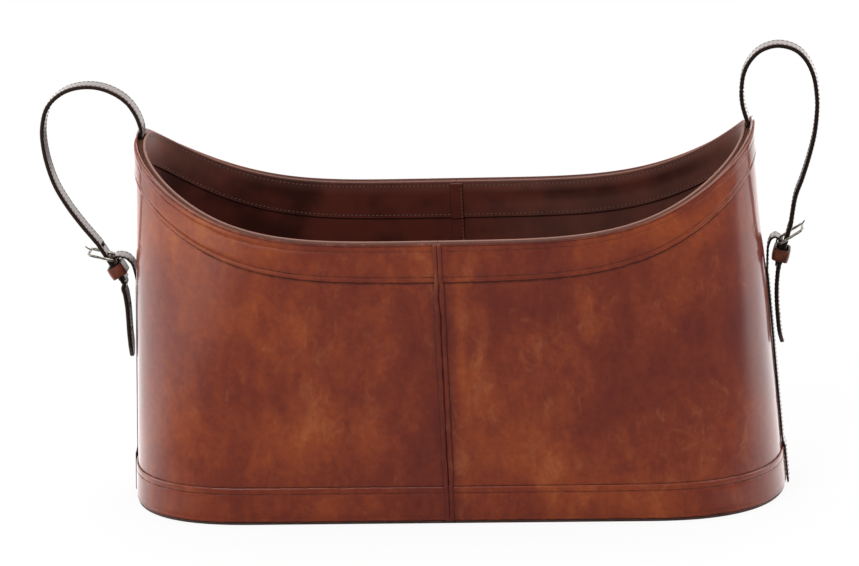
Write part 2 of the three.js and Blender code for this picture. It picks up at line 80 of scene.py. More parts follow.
class Wire:
    def __init__(self, finish, socket):
        self.finish = finish
        self.socket = socket

    def maths(self, operation, first, second):
        made = self.finish.node("ShaderNodeMath", {"operation": operation}, {0: first, 1: second})
        return Wire(self.finish, made.outputs[0])

    def __add__(self, other):
        return self.maths("ADD", self, other)

    def __sub__(self, other):
        return self.maths("SUBTRACT", self, other)

    def __rsub__(self, other):
        return self.maths("SUBTRACT", other, self)

    def __mul__(self, other):
        return self.maths("MULTIPLY", self, other)

    __radd__ = __add__
    __rmul__ = __mul__

    def clear(self, low, high):  # 0 below low, 1 above high
        made = self.finish.node(
            "ShaderNodeMapRange",
            {"interpolation_type": "SMOOTHSTEP", "clamp": True},
            {"Value": self, "From Min": low, "From Max": high},
        )
        return Wire(self.finish, made.outputs[0])


class Finish:
    def __init__(self, name, owner=None):  # a new material, unless the world is given
        self.owner = owner or bpy.data.materials.new(name)
        self.owner.use_nodes = True
        self.tree = self.owner.node_tree
        self.tree.nodes.clear()

    def node(self, kind, settings=None, sockets=None):
        made = self.tree.nodes.new(kind)
        for name, value in (settings or {}).items():
            setattr(made, name, value)
        for name, value in (sockets or {}).items():
            if isinstance(value, Wire):
                self.tree.links.new(value.socket, made.inputs[name])
            else:
                made.inputs[name].default_value = value
        return made

    def out(self, made, name=0):
        return Wire(self, made.outputs[name])

    def mark(self, name):  # a number kept on the piece's own points
        return self.out(self.node("ShaderNodeAttribute", {"attribute_name": name}), "Fac")

    def place(self, stretch=(1, 1, 1)):
        coordinates = self.out(self.node("ShaderNodeTexCoord"), "Object")
        return self.out(self.node("ShaderNodeMapping", None, {"Vector": coordinates, "Scale": stretch}))

    def cloud(self, place, size, detail=3.0, roughness=0.5, distortion=0.0):  # size in millimetres
        sockets = {
            "Vector": place, "Scale": 1 / (size * millimetre), "Detail": detail,
            "Roughness": roughness, "Distortion": distortion,
        }
        return self.out(self.node("ShaderNodeTexNoise", None, sockets), 0)

    def mix(self, share, first, second):
        made = self.node("ShaderNodeMix", {"data_type": "RGBA"}, {0: share, 6: first, 7: second})
        return self.out(made, 2)

    def bump(self, height, depth, strength=1.0, under=None):  # depth in millimetres
        sockets = {"Height": height, "Distance": depth * millimetre, "Strength": strength}
        if under:
            sockets["Normal"] = under
        return self.out(self.node("ShaderNodeBump", None, sockets))

    def surface(self, **sockets):
        named = {name.replace("_", " "): value for name, value in sockets.items()}
        shader = self.node("ShaderNodeBsdfPrincipled", None, named)
        self.node("ShaderNodeOutputMaterial", None, {"Surface": self.out(shader)})
        return self.owner


def paint(red, green, blue):  # a colour as it looks on screen, 0 to 255
    parts = [part / 255 for part in (red, green, blue)]
    linear = [part / 12.92 if part <= 0.04045 else ((part + 0.055) / 1.055) ** 2.4 for part in parts]
    return (*linear, 1.0)


# Finishes

cognac = {
    "deep": paint(86, 29, 22), "base": paint(108, 42, 23), "light": paint(130, 57, 24),
    # line: dark creased lines, with painted shade in the grooves and where layers meet; edge: a pale lip
    # colour, partly a painted highlight
    "amber": paint(156, 84, 34), "line": paint(58, 24, 17), "edge": paint(140, 104, 94),
    "gold": paint(150, 92, 56), "goldShare": 0.3,  # small golden spots, painted highlights
    # sizes of the dye's clouds, of the spots, and of the grain and waves with their depths
    "patch": 58, "streak": 15, "mottle": 4.5, "spot": 11,
    "grain": 0.8, "grainDepth": 0.035, "wave": 30, "waveDepth": 0.5,
    "lineFade": 8, "lineFray": 1.5,  # sizes over which the creased lines fade and fray
    "roughness": 0.34, "shine": 0.18, "coat": 0.6, "coatRoughness": 0.1, "coatIndex": 1.45,
}


def cognacLeather():
    finish = Finish("cognacLeather")
    flat = finish.place()
    tall = finish.place((1, 1, 0.55))
    patch = finish.cloud(tall, cognac["patch"], 3, 0.6, 0.4)
    streak = finish.cloud(tall, cognac["streak"], 4, 0.62, 0.5)
    mottle = finish.cloud(flat, cognac["mottle"], 4, 0.65)
    # the tone mark adds patches of uneven dye and of painted light and shade
    tone = patch * 0.5 + streak * 0.28 + mottle * 0.22 + finish.mark("tone")
    colour = finish.mix(tone.clear(0.32, 0.56), cognac["deep"], cognac["base"])
    colour = finish.mix(tone.clear(0.48, 0.68), colour, cognac["light"])
    colour = finish.mix(tone.clear(0.62, 0.84), colour, cognac["amber"])
    # small golden spots: painted highlights
    spot = finish.cloud(tall, cognac["spot"], 5, 0.7, 0.8) * 0.6 + patch * 0.4
    colour = finish.mix(spot.clear(0.53, 0.68) * cognac["goldShare"], colour, cognac["gold"])
    fade = finish.cloud(flat, cognac["lineFade"], 2, 0.6)
    fray = finish.cloud(flat, cognac["lineFray"], 3, 0.7)
    line = (finish.mark("line") * (fade * 1.2 + fray * 1.2 - 0.35)).clear(0.1, 0.8)
    edge = finish.mark("edge")
    worn = line + edge  # neither creases nor edges keep the wax
    # creased lines darkened, partly as painted shade in the grooves and joins; lip edges made pale, partly as
    # a painted highlight
    colour = finish.mix(line * 0.85, colour, cognac["line"])
    colour = finish.mix(edge, colour, cognac["edge"])
    normal = finish.bump(finish.cloud(flat, cognac["wave"], 2), cognac["waveDepth"], 0.5)
    normal = finish.bump(finish.cloud(flat, cognac["grain"], 3, 0.6), cognac["grainDepth"], 0.6, normal)
    return finish.surface(
        Base_Color=colour, Roughness=cognac["roughness"] + streak * 0.16 + worn.clear(0, 1) * 0.4,
        Normal=normal, Specular_IOR_Level=cognac["shine"],
        Coat_Weight=cognac["coat"] * (1.0 - worn.clear(0, 0.9)),
        Coat_Roughness=cognac["coatRoughness"], Coat_IOR=cognac["coatIndex"],
    )


interior = {
    "deep": paint(50, 18, 11), "base": paint(82, 34, 25), "line": paint(30, 14, 11),
    # line: dark stitch lines and painted shade where layers meet; edge: a pale edge colour, partly a painted
    # highlight; sheen: painted sheen
    "edge": paint(150, 112, 100), "sheen": paint(124, 80, 69),
    "patch": 40, "patchDepth": 0.6, "grain": 1.1, "grainDepth": 0.06, "roughness": 0.42, "shine": 0.25,
}


def liningLeather():
    finish = Finish("liningLeather")
    flat = finish.place()
    patch = finish.cloud(flat, interior["patch"], 3, 0.6)
    grain = finish.cloud(flat, interior["grain"], 4, 0.65)
    edge = finish.mark("edge")
    colour = finish.mix(patch.clear(0.35, 0.65), interior["deep"], interior["base"])
    # painted sheen where the tone mark says; dark lines partly painted shade; pale edges partly painted
    # highlight
    colour = finish.mix(finish.mark("tone") * (0.6 + patch * 0.5), colour, interior["sheen"])
    colour = finish.mix(finish.mark("line") * 0.85, colour, interior["line"])
    colour = finish.mix(edge, colour, interior["edge"])
    folds = finish.bump(patch, interior["patchDepth"], 0.5)
    return finish.surface(
        Base_Color=colour, Roughness=interior["roughness"] + grain * 0.14 + edge * 0.4,
        Normal=finish.bump(grain, interior["grainDepth"], 0.7, folds), Specular_IOR_Level=interior["shine"],
    )


bridle = {
    "deep": paint(36, 20, 16), "base": paint(66, 38, 29), "line": paint(12, 9, 9),
    "patch": 12, "patchDepth": 0.3, "grain": 0.55, "grainDepth": 0.09, "roughness": 0.3,
    "shine": 0.8, "gleam": (0.5, 0.3, 0.22, 1.0), "coat": 0.55, "coatRoughness": 0.2, "coatIndex": 1.45,
}
keeperTone = {
    **bridle, "deep": paint(62, 28, 22), "base": paint(96, 46, 34), "line": paint(26, 13, 11),
    "grain": 0.7, "gleam": (0.6, 0.3, 0.2, 1.0), "coat": 0.3,
}


def strapLeather(name, tones):
    finish = Finish(name)
    flat = finish.place()
    patch = finish.cloud(flat, tones["patch"], 3, 0.6)
    grain = finish.cloud(flat, tones["grain"], 4, 0.7)
    painted = finish.mark("line").clear(0.3, 0.7)
    colour = finish.mix(patch.clear(0.35, 0.65), tones["deep"], tones["base"])
    colour = finish.mix(painted, colour, tones["line"])
    folds = finish.bump(patch, tones["patchDepth"], 0.4)
    return finish.surface(
        Base_Color=colour, Roughness=tones["roughness"] + grain * 0.2 + painted * 0.15,
        Normal=finish.bump(grain, tones["grainDepth"], 0.8, folds),
        Specular_IOR_Level=tones["shine"], Specular_Tint=tones["gleam"],
        Coat_Weight=tones["coat"] * (1.0 - painted),
        Coat_Roughness=tones["coatRoughness"], Coat_IOR=tones["coatIndex"],
    )


def plainFinish(name, deep, light, size, roughness, bumpDepth, metallic=0.0, shine=0.5):
    finish = Finish(name)
    speckle = finish.cloud(finish.place(), size, 4, 0.65)
    colour = finish.mix(speckle.clear(0.3, 0.7), deep, light)
    return finish.surface(
        Base_Color=colour, Roughness=roughness + speckle * 0.15, Metallic=metallic, Specular_IOR_Level=shine,
        Normal=finish.bump(speckle, bumpDepth, 0.7),
    )


skinLook = cognacLeather()
liningLook = liningLeather()
strapLook = strapLeather("strapLeather", bridle)
keeperLook = strapLeather("keeperLeather", keeperTone)
soleLook = plainFinish("soleLeather", paint(46, 24, 18), paint(72, 40, 30), 3, 0.6, 0.15)
boardLook = plainFinish("boardEdge", paint(52, 28, 20), paint(82, 48, 34), 1.8, 0.7, 0.15, shine=0.15)
strapThread = plainFinish("strapThread", paint(22, 15, 13), paint(48, 34, 28), 0.5, 0.5, 0.06)
liningThread = plainFinish("liningThread", paint(84, 58, 50), paint(116, 86, 78), 0.5, 0.5, 0.06)
nickel = plainFinish("antiqueNickel", paint(78, 74, 68), paint(176, 172, 160), 2.2, 0.22, 0.04, 1.0)
print("finishes made")


# Making a piece: a grid is thickened, then every point goes where the place function says

markNames = ("line", "edge", "tone")
sharpFrom = 38  # degrees: a sharper fold isn't shaded smooth
# A piece has the name of the node that it stands for, in camelCase, apart from these
nodeWords = {"Panel": "OuterPanel", "Core": "WallCore", "SeamStrip": "SeamWelt", "sole": "baseSole"}


def newVerts(made):
    return [item for item in made["geom"] if isinstance(item, bmesh.types.BMVert)]


def shapeSlab(columns, rowCount, place, gaps=None):
    bm = bmesh.new()
    spans = len(columns) - 1
    steps = rowCount - 1
    bmesh.ops.create_grid(bm, x_segments=spans, y_segments=steps, size=0.5)
    for vert in bm.verts:
        column = columns[round((vert.co.x + 0.5) * spans)]
        vert.co = Vector((column, round((vert.co.y + 0.5) * steps), 0))
    if gaps:
        doomed = [face for face in bm.faces if gaps(face.calc_center_median())]
        bmesh.ops.delete(bm, geom=doomed, context="FACES")
    made = bmesh.ops.extrude_face_region(bm, geom=bm.faces[:])
    bmesh.ops.translate(bm, verts=newVerts(made), vec=(0, 0, 1))
    layers = [bm.verts.layers.float.new(name) for name in markNames]
    for vert in bm.verts:
        vert.co, marks = place(vert.co.x, round(vert.co.y), vert.co.z)
        for layer, mark in zip(layers, marks):
            vert[layer] = mark
    bmesh.ops.recalc_face_normals(bm, faces=bm.faces)
    return bm


def shapeRing(spans, sides, place):  # a grid bent round, with the points that meet made one
    bm = bmesh.new()
    bmesh.ops.create_grid(bm, x_segments=spans, y_segments=sides, size=0.5)
    for vert in bm.verts:
        vert.co = place(vert.co.x + 0.5, vert.co.y + 0.5)
    bmesh.ops.remove_doubles(bm, verts=bm.verts, dist=0.001)
    bmesh.ops.recalc_face_normals(bm, faces=bm.faces)
    return bm


def joinTo(bm, other):
    carrier = bpy.data.meshes.new("carrier")
    other.to_mesh(carrier)
    other.free()
    bm.from_mesh(carrier)
    bpy.data.meshes.remove(carrier)


def addStitches(bm, places, sizes):
    # One stitch is doubled until there are enough in a row, then each goes to its own place
    stitches = bmesh.new()
    bmesh.ops.create_uvsphere(stitches, u_segments=6, v_segments=4, radius=1)
    apart = 4
    count = 1
    while count < len(places):
        geometry = stitches.verts[:] + stitches.edges[:] + stitches.faces[:]
        made = bmesh.ops.duplicate(stitches, geom=geometry)
        bmesh.ops.translate(stitches, verts=newVerts(made), vec=(apart * count, 0, 0))
        count *= 2
    spare = [vert for vert in stitches.verts if round(vert.co.x / apart) >= len(places)]
    bmesh.ops.delete(stitches, geom=spare, context="VERTS")
    for vert in stitches.verts:
        index = round(vert.co.x / apart)
        point, along, up = places[index]
        side = up.cross(along).normalized()
        point = point + along * ((vert.co.x - apart * index) * sizes["stitchLength"] / 2)
        point += side * (vert.co.y * sizes["stitchWidth"] / 2)
        vert.co = point + up * (vert.co.z * sizes["stitchHeight"] / 2)
    for face in stitches.faces:
        face.material_index = 1
    joinTo(bm, stitches)


def finishPiece(bm, name, *looks, body="tub"):
    bmesh.ops.scale(bm, vec=(millimetre,) * 3, verts=bm.verts)
    mesh = bpy.data.meshes.new(name)
    for face in bm.faces:
        face.smooth = True
    bm.to_mesh(mesh)
    bm.free()
    mesh.set_sharp_from_angle(angle=math.radians(sharpFrom))
    for look in looks:
        mesh.materials.append(look)
    piece = bpy.data.objects.new(name, mesh)
    scene.collection.objects.link(piece)
    if body:
        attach(piece, body)
    for word, nodeWord in nodeWords.items():
        name = name.replace(word, nodeWord)
    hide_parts(re.sub("([A-Z])", r"_\1", name).lower())
    return piece


def spread(start, end, count):
    return [start + (end - start) * step / count for step in range(count + 1)]


def clamp(value, low=0, high=1):
    return min(max(value, low), high)


def ease(value, low, high):  # 0 below low, 1 above high
    share = clamp((value - low) / (high - low))
    return share * share * (3 - 2 * share)


def drift(x, y, z):
    return noise.noise(Vector((x, y, z)))


class Path:  # points joined by straight steps, and the length up to each
    def __init__(self, points):
        self.points = [points[0]]
        for point in points[1:]:
            if (point - self.points[-1]).length > 1e-4:
                self.points.append(point)
        self.lengths = [0.0]
        for before, after in zip(self.points, self.points[1:]):
            self.lengths.append(self.lengths[-1] + (after - before).length)
        self.length = self.lengths[-1]

    def at(self, distance):
        index = clamp(bisect.bisect_left(self.lengths, distance), 1, len(self.points) - 1)
        before, after = self.lengths[index - 1:index + 1]
        return self.points[index - 1].lerp(self.points[index], (distance - before) / (after - before))

    def way(self, distance, near=0.8):
        return (self.at(distance + near) - self.at(distance - near)).normalized()

    def where(self, test):  # the first distance whose point passes the test
        for point, length in zip(self.points, self.lengths):
            if test(point):
                return length
        return self.length


# The tub's wall: places round it count in quarters, from the middle of the front by the right end

tub = {
    "baseHalfLength": 229, "baseHalfDepth": 78, "baseEndReach": 95, "baseRoundness": 2.5,
    "rimHalfLength": 213, "rimHalfDepth": 75, "rimRoundness": 2.9, "outlineSteps": 500,
    "endHeight": 259.5, "middleHeight": 201.5, "sweepPower": 4.3, "sweepEase": 2.5,
    "topBandAtMiddle": 27.5, "topBandAtEnds": 18.5, "facingAtEnds": 24.5, "bandTaper": 2, "bottomBandTop": 27,
    "band": 0.9, "panel": 1.0, "core": 3.4, "lining": 0.7, "facing": 0.8, "glue": 0.3,
    "sole": 2.0, "board": 6.0, "floor": 1.2,
    # how far hand-worked leather wanders in or out, in broad waves and small ones
    "ripple": 0.28, "rippleSize": 46, "smallRipple": 0.1, "smallRippleSize": 14,
}
panelDepth = tub["band"] + tub["glue"]
coreDepth = panelDepth + tub["panel"] + tub["glue"]
liningDepth = coreDepth + tub["core"] + tub["glue"]
facingDepth = liningDepth + tub["lining"] + tub["glue"]
insideDepth = facingDepth + tub["facing"]
wallFoot = tub["sole"] + tub["glue"]
liningFoot = wallFoot + tub["board"] + tub["glue"]
floorTop = liningFoot + tub["floor"]


def quarterOutline(halfLength, halfDepth, endReach, roundness):
    straight = halfLength - endReach
    points = [Vector((0, -halfDepth))] if straight > 0 else []
    for turn in spread(0, math.pi / 2, tub["outlineSteps"]):
        reach = (math.sin(turn) ** roundness + math.cos(turn) ** roundness) ** (-1 / roundness)
        x = straight + endReach * reach * math.sin(turn)
        points.append(Vector((x, -halfDepth * reach * math.cos(turn))))
    return Path(points)


baseOutline = quarterOutline(
    tub["baseHalfLength"], tub["baseHalfDepth"], tub["baseEndReach"], tub["baseRoundness"])
rimOutline = quarterOutline(
    tub["rimHalfLength"], tub["rimHalfDepth"], tub["rimHalfLength"], tub["rimRoundness"])


def ringPoint(outline, place):
    quarter = math.floor(place)
    share = place - quarter
    if quarter % 2:
        share = 1 - share
    point = outline.at(share * outline.length)
    quarter %= 4
    return Vector((point.x if quarter < 2 else -point.x, point.y if quarter in (0, 3) else -point.y))


@lru_cache(maxsize=None)
def ringColumn(place):
    near = 0.004
    base = ringPoint(baseOutline, place)
    rim = ringPoint(rimOutline, place)
    baseWay = ringPoint(baseOutline, place + near) - ringPoint(baseOutline, place - near)
    rimWay = ringPoint(rimOutline, place + near) - ringPoint(rimOutline, place - near)
    return base, rim, baseWay, rimWay


def towardsEnd(place):  # 0 at the middle of the front and the back, 1 at the middle of each end
    share = place % 2
    return min(share, 2 - share)


def rimHeight(place):
    rise = 1 - (1 - towardsEnd(place) ** tub["sweepPower"]) ** tub["sweepEase"]
    return tub["middleHeight"] + (tub["endHeight"] - tub["middleHeight"]) * rise


def bandFoot(place, atEnds="topBandAtEnds"):
    narrowed = (tub["topBandAtMiddle"] - tub[atEnds]) * towardsEnd(place) ** tub["bandTaper"]
    return rimHeight(place) - tub["topBandAtMiddle"] + narrowed


def facingFoot(place):
    return bandFoot(place, "facingAtEnds")


def wallPoint(place, height, depth):
    base, rim, baseWay, rimWay = ringColumn(place)
    share = height / tub["endHeight"]
    point = base.lerp(rim, share)
    way = baseWay.lerp(rimWay, share).normalized()
    return Vector((point.x - way.y * depth, point.y + way.x * depth, height))


def wallOut(place, height):  # outward, level
    base, rim, baseWay, rimWay = ringColumn(place)
    way = baseWay.lerp(rimWay, height / tub["endHeight"]).normalized()
    return Vector((way.y, -way.x, 0))


def ripple(point):
    wide = tub["ripple"] * noise.noise(point / tub["rippleSize"])
    return wide + tub["smallRipple"] * noise.noise(point / tub["smallRippleSize"])


def skinReach(height, across="Length"):  # from the middle to the outer face, at the ends or the sides
    foot, rim = tub[f"baseHalf{across}"], tub[f"rimHalf{across}"]
    return foot - (foot - rim) * height / tub["endHeight"]


halves = {"left": (-1, 2.0, 4.0), "right": (1, 0.0, 2.0)}
seamHalfGap = 0.15


# A row of a layer's cross-section: share of the height between its two levels, rise from there,
# depth of the visible face, rise and depth of the hidden face, and its marks.

def row(share, rise, depth, hiddenDepth, line=0.0, edge=0.0, hiddenRise=None):
    return share, rise, depth, rise if hiddenRise is None else hiddenRise, hiddenDepth, line, edge


def rowsAt(share, face, hidden, *places):  # rows near one level: the rise and line of each
    return [row(share, rise, face, hidden, line) for rise, line in places]


def rowsBetween(shares, face, hidden):
    return [row(share, 0, face, hidden) for share in shares]


# a shallow crease with its bottom darkened: a creased line with painted shade in the groove
def groove(share, rise, face, hidden, depth, halfWidth, line):
    steps = [(-1, 0, 0), (-0.45, 0.45, 0.7), (0, 1, 1), (0.45, 0.45, 0.7), (1, 0, 0)]
    return [
        row(share, rise + halfWidth * across, face + depth * drop, hidden, line * dark)
        for across, drop, dark in steps
    ]


def turnedEdge(share, rise, face, hidden, up, line):  # a cut edge rounded over, from the edge to the face
    steps = [(0.05, 0.88, 1.0), (0.12, 0.5, 0.8), (0.4, 0.16, 0.35), (1.0, 0.0, 0.0)]
    span = hidden - face
    return [row(share, rise + up * out, face + span * drop, hidden, line * dark) for out, drop, dark in steps]


def atHeight(height):
    return lambda _around: height


def shapeWall(
        name, count, rows, lowLevel, highLevel, waviness=0.0, tone=None, wander=None, lip=None,
        swell=None, extra=()):
    sign, start, end = halves[name]

    def place(around, index, side):
        share, rise, depth, hiddenRise, hiddenDepth, line, edge = rows[index]
        low, high = lowLevel(around), highLevel(around)
        height = low + share * (high - low) + (hiddenRise if side else rise)
        if wander and line > 0 and not side:
            height += wander(around, index)
        level = hiddenDepth if side else depth
        point = wallPoint(around, height, level)
        if not side:
            out = swell(point) if swell else 0
            point = wallPoint(around, height, level + waviness * ripple(point) - out)
        # pale: painted highlight on the lip edges; outer lips without it are stained dark
        pale = lip(around) if lip else 1
        stained = edge * (1 - pale) * (depth < panelDepth + tub["panel"])
        marks = (max(line, skin["lipStain"] * stained), edge * pale, tone(point, around) if tone else 0.0)
        if sign * point.x < seamHalfGap:  # keeps the two halves apart at the front and the back
            point.x = sign * seamHalfGap
        return point, marks

    return shapeSlab(sorted(set(spread(start, end, count)) | set(extra)), len(rows), place)


def lipHighlight(middle, ends, back):  # how much painted highlight the lip edges get, round the tub
    def share(around):
        low = back if abs(around % 4 - 2) < skin["backReach"] else middle
        return low + (ends - low) * ease(towardsEnd(around), *skin["paleFrom"])
    return share


def raggedLine(around, index):
    slow, quick = drift(around * 40, index * 0.1, 3.1), drift(around * 160, index * 0.1, 7.7)
    return skin["slowWander"] * slow + skin["quickWander"] * quick


# Patches painted lighter or darker, partly the leather's uneven hand dye and partly painted light and shade,
# lighter towards the left and on the top band near its ends: x, height, reach across, reach up, strength. The
# back has the same, seen from behind.
dyeAndLightPatches = [
    (-160, 210, 56, 24, 0.22), (-62, 186, 45, 9, 0.03), (146, 208, 50, 18, 0.16), (60, 187, 40, 8, 0.03),
    (-36, 138, 26, 40, 0.04), (-14, 60, 20, 44, -0.04), (95, 135, 34, 60, -0.04),
    (-152, 150, 40, 40, 0.1), (175, 75, 40, 40, -0.06), (-120, 58, 60, 26, 0.1),
    (160, 160, 22, 30, 0.06), (194, 160, 16, 50, -0.08), (-103, 12, 60, 12, 0.07),
    (3, 100, 7, 90, -0.09), (13, 130, 3, 55, 0.12), (46, 54, 30, 26, 0.04), (125, 12, 50, 14, 0.06),
    (35, 92, 28, 34, 0.03), (-180, 60, 24, 40, 0.05), (70, 30, 60, 22, 0.04), (14, 150, 34, 22, -0.04),
]


def dyeAndLightTone(point, _around=0):
    x = point.x if point.y < 0 else -point.x
    total = 0.0
    for middle, height, across, up, strength in dyeAndLightPatches:
        away = ((x - middle) / across) ** 2 + ((point.z - height) / up) ** 2
        total += strength * math.exp(-away)
    return total


skin = {
    "columns": 230, "panelRows": 44, "grooveDepth": 0.26, "grooveHalfWidth": 0.9,
    "topLine": 3.8,  # creased line above the top band's lower edge
    "rimLine": 5.3,  # and below the rim
    "footLine": 2.7, "bottomLine": 4.4,
    "slowWander": 0.35, "quickWander": 0.2,  # of the lines, up or down
    "lipRadius": 1.1, "lipStain": 0.9, "lipAngles": (12, 180, 21),
    "backReach": 0.95, "paleFrom": (0.45, 0.8),  # in quarters, from the back's middle and towards the ends, where the lips' painted highlight changes
    "seamRise": 0.5, "seamFrom": (2, 5), "seamTo": 13, "seamWander": 3, "seamSlope": 3,
}


def lipRows(middleDepth, radius, hiddenRadius, inward, edgeFrom=35):
    rows = []
    for angle in range(*skin["lipAngles"]):
        turn = math.radians(angle)
        out, up = math.cos(turn), math.sin(turn)
        edge = 1.0 if angle > edgeFrom else 0.2
        rows.append(row(
            1, radius * (up - 1), middleDepth - inward * radius * out,
            middleDepth - inward * hiddenRadius * out, 0, edge, hiddenRadius * up - radius))
    return rows


# line marks: creased lines with painted shade in their grooves, along the band's lower edge and where it
# turns in over the rim
def topBandRows():
    face, hidden = 0, tub["band"]
    radius = skin["lipRadius"]
    inner = 2 * radius
    depth, halfWidth = skin["grooveDepth"], skin["grooveHalfWidth"]
    return [
        *turnedEdge(0, 0, face, hidden, 1, 0.95), row(0, 1.6, face, hidden, 0.3),
        *groove(0, skin["topLine"], face, hidden, depth, halfWidth, 0.65),
        *rowsBetween((0.3, 0.42, 0.54, 0.66), face, hidden),
        *groove(1, -skin["rimLine"], face, hidden, 0.2, 0.8, 0.5),
        *rowsAt(1, face, hidden, (-3, 0), (-2.1, 0.3)), row(1, -1.5, 0.04, hidden, 0.9),
        *lipRows(radius, radius, 0.3, 1, 15),
        row(1, -1.6, inner, inner - 0.8, 0.5, 0.5), row(1, -2.6, inner, inner - 0.8, 1),
    ]


# line marks: creased lines with painted shade in their grooves and along the band's edges
def bottomBandRows():
    face, hidden, top = 0, tub["band"], tub["bottomBandTop"]
    return [
        *turnedEdge(0, wallFoot, face, hidden, 1, 0.5),
        *groove(0, wallFoot + skin["footLine"], face, hidden, 0.14, 0.7, 0.3),
        *rowsAt(0, face, hidden, (8, 0), (11.5, 0), (15, 0), (18.5, 0)),
        *groove(0, top - skin["bottomLine"], face, hidden, 0.22, 0.75, 0.7),
        *turnedEdge(0, top, face, hidden, -1, 0.45)[::-1],
    ]


# line marks: painted shade on the panel next to the bands' edges
def panelRows():
    face, hidden = panelDepth, panelDepth + tub["panel"]
    foot, count = wallFoot + 0.5 - tub["bottomBandTop"], skin["panelRows"]
    return [
        *rowsAt(0, face, hidden, (foot, 0), (-2, 0), (0.1, 0.6), (0.7, 0.4), (1.6, 0), (3.2, 0)),
        *rowsBetween([step / count for step in range(2, count - 1)], face, hidden),
        *rowsAt(1, face, hidden, (-3.2, 0), (-1.8, 0.35), (-0.7, 0.7), (-0.1, 0.9), (2, 0), (12, 0), (22, 0)),
    ]


def seamAllowance(point):  # folded leather under the panel, to the right of the seam
    across = point.x if point.y < 0 else -point.x
    edge = skin["seamTo"] + skin["seamWander"] * drift(0, 2.5, point.z / 22)
    share = ease(across, *skin["seamFrom"]) * (1 - ease(across, edge - skin["seamSlope"], edge))
    return skin["seamRise"] * share * (0.8 + 0.9 * drift(across / 6, point.y, point.z / 16))


def buildSkin():
    count = skin["columns"]
    bandTop = atHeight(tub["bottomBandTop"])
    ground = atHeight(0)
    for name in halves:
        panel = shapeWall(name, count, panelRows(), bandTop, bandFoot, 0.8, dyeAndLightTone, swell=seamAllowance)
        finishPiece(panel, f"{name}Panel", skinLook)
        # painted highlight on the outer lip: slight at the middles of the front and back, strong towards the
        # ends
        lip = lipHighlight(0.05, 0.7, 0.1)
        topBand = shapeWall(name, count, topBandRows(), bandFoot, rimHeight, 0.5, dyeAndLightTone, raggedLine, lip)
        finishPiece(topBand, f"{name}TopBand", skinLook)
        bottomBand = shapeWall(name, count, bottomBandRows(), ground, ground, 0.5, dyeAndLightTone, raggedLine)
        finishPiece(bottomBand, f"{name}BottomBand", skinLook)


buildSkin()
print("outer leather made")


# Board core: its burnished top shows between the two lips of the rim

core = {
    "columns": 150, "recessAtMiddle": 0.5, "recessAtEnds": 1.1, "recessFrom": 120, "recessTo": 190,
    "slotHalfWidth": 6.55, "slotDepth": 36.6,
}
slotReach = core["slotHalfWidth"] / rimOutline.length


def coreTop(around):  # lower in the slots for the straps
    drop = core["slotDepth"]
    if abs(around % 2 - 1) > slotReach + 1e-6:
        share = ease(abs(ringColumn(around)[1].x), core["recessFrom"], core["recessTo"])
        drop = core["recessAtMiddle"] + (core["recessAtEnds"] - core["recessAtMiddle"]) * share
    return rimHeight(around) - drop


def buildCore():
    face, hidden = coreDepth, coreDepth + tub["core"]
    rows = [*rowsAt(0, face, hidden, (wallFoot, 0), (60, 0), (130, 0), (180, 0)), row(1, 0, face, hidden)]
    for name, (_, start, end) in halves.items():
        flanks = [
            (start + end) / 2 + side * reach for side in (-1, 1) for reach in (slotReach, slotReach + 0.0002)]
        board = shapeWall(name, core["columns"], rows, atHeight(0), coreTop, extra=flanks)
        finishPiece(board, f"{name}Core", boardLook)


buildCore()
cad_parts["base_board"].data.materials.clear()
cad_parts["base_board"].data.materials.append(boardLook)
print("board made")


# Lining, facing and their stitches

inside = {
    "columns": 170, "lipRadius": 0.9, "topStitch": 3.4, "footStitch": 2.6, "stitchMargin": 0.006,
    "stitchPitch": 2.9, "stitchLength": 2.1, "stitchWidth": 0.62, "stitchHeight": 0.42, "stitchLean": 12,
    "sheen": 0.42, "sheenAcross": (-20, 90),
}


# line marks: dark stitch lines, and painted shade at the lower edge and where the facing turns in over the
# rim
def facingRows():
    face, hidden = insideDepth, facingDepth
    radius = inside["lipRadius"]
    middle = insideDepth - radius
    outer = middle - radius
    return [
        *turnedEdge(0, 0, face, hidden, 1, 0.6), row(0, 0.9, face, hidden, 0, 0.8),
        *rowsAt(0, face, hidden, (1.4, 0), (2.1, 0), (2.6, 0.6), (3.1, 0), (6, 0)),
        *rowsBetween((0.35, 0.5, 0.65), face, hidden),
        *rowsAt(1, face, hidden, (-5.5, 0), (-4, 0), (-3.4, 0.7), (-2.8, 0), (-1.6, 0.3)),
        *lipRows(middle, radius, 0.25, -1, 50),
        row(1, -1.8, outer, outer + 0.7, 0.5, 0.4), row(1, -2.8, outer, outer + 0.7, 1),
    ]


# line mark under the facing's lower edge: painted shade
def liningRows():
    face, hidden = liningDepth + tub["lining"], liningDepth
    return [
        *rowsBetween((0, 0.03, 0.1, 0.2, 0.3, 0.4, 0.5, 0.6, 0.7, 0.8, 0.9), face, hidden),
        *rowsAt(1, face, hidden, (-1.2, 0), (-0.2, 0.9), (2, 0), (12, 0), (21, 0)),
    ]


def liningSheen(point, _around=0):  # painted sheen: the right half is a little paler
    return inside["sheen"] * ease(point.x, *inside["sheenAcross"])


def facingSheen(point, around):  # painted sheen, paler along the rim and most of all towards the ends, with painted shade below the rim strip
    below = rimHeight(around) - point.z
    ends = ease(towardsEnd(around), 0.5, 0.95)
    strip = (0.25 + 0.35 * ease(point.x, -20, 60) + 0.4 * ends) * (1 - ease(below, 4, 8.5))
    foldShade = 0.85 * ease(below, 5, 9) * (1 - ease(below, 11, 18))
    return max(strip, 0.7 * ends * (1 - ease(below, 6, 34)), liningSheen(point) * (1 - foldShade))


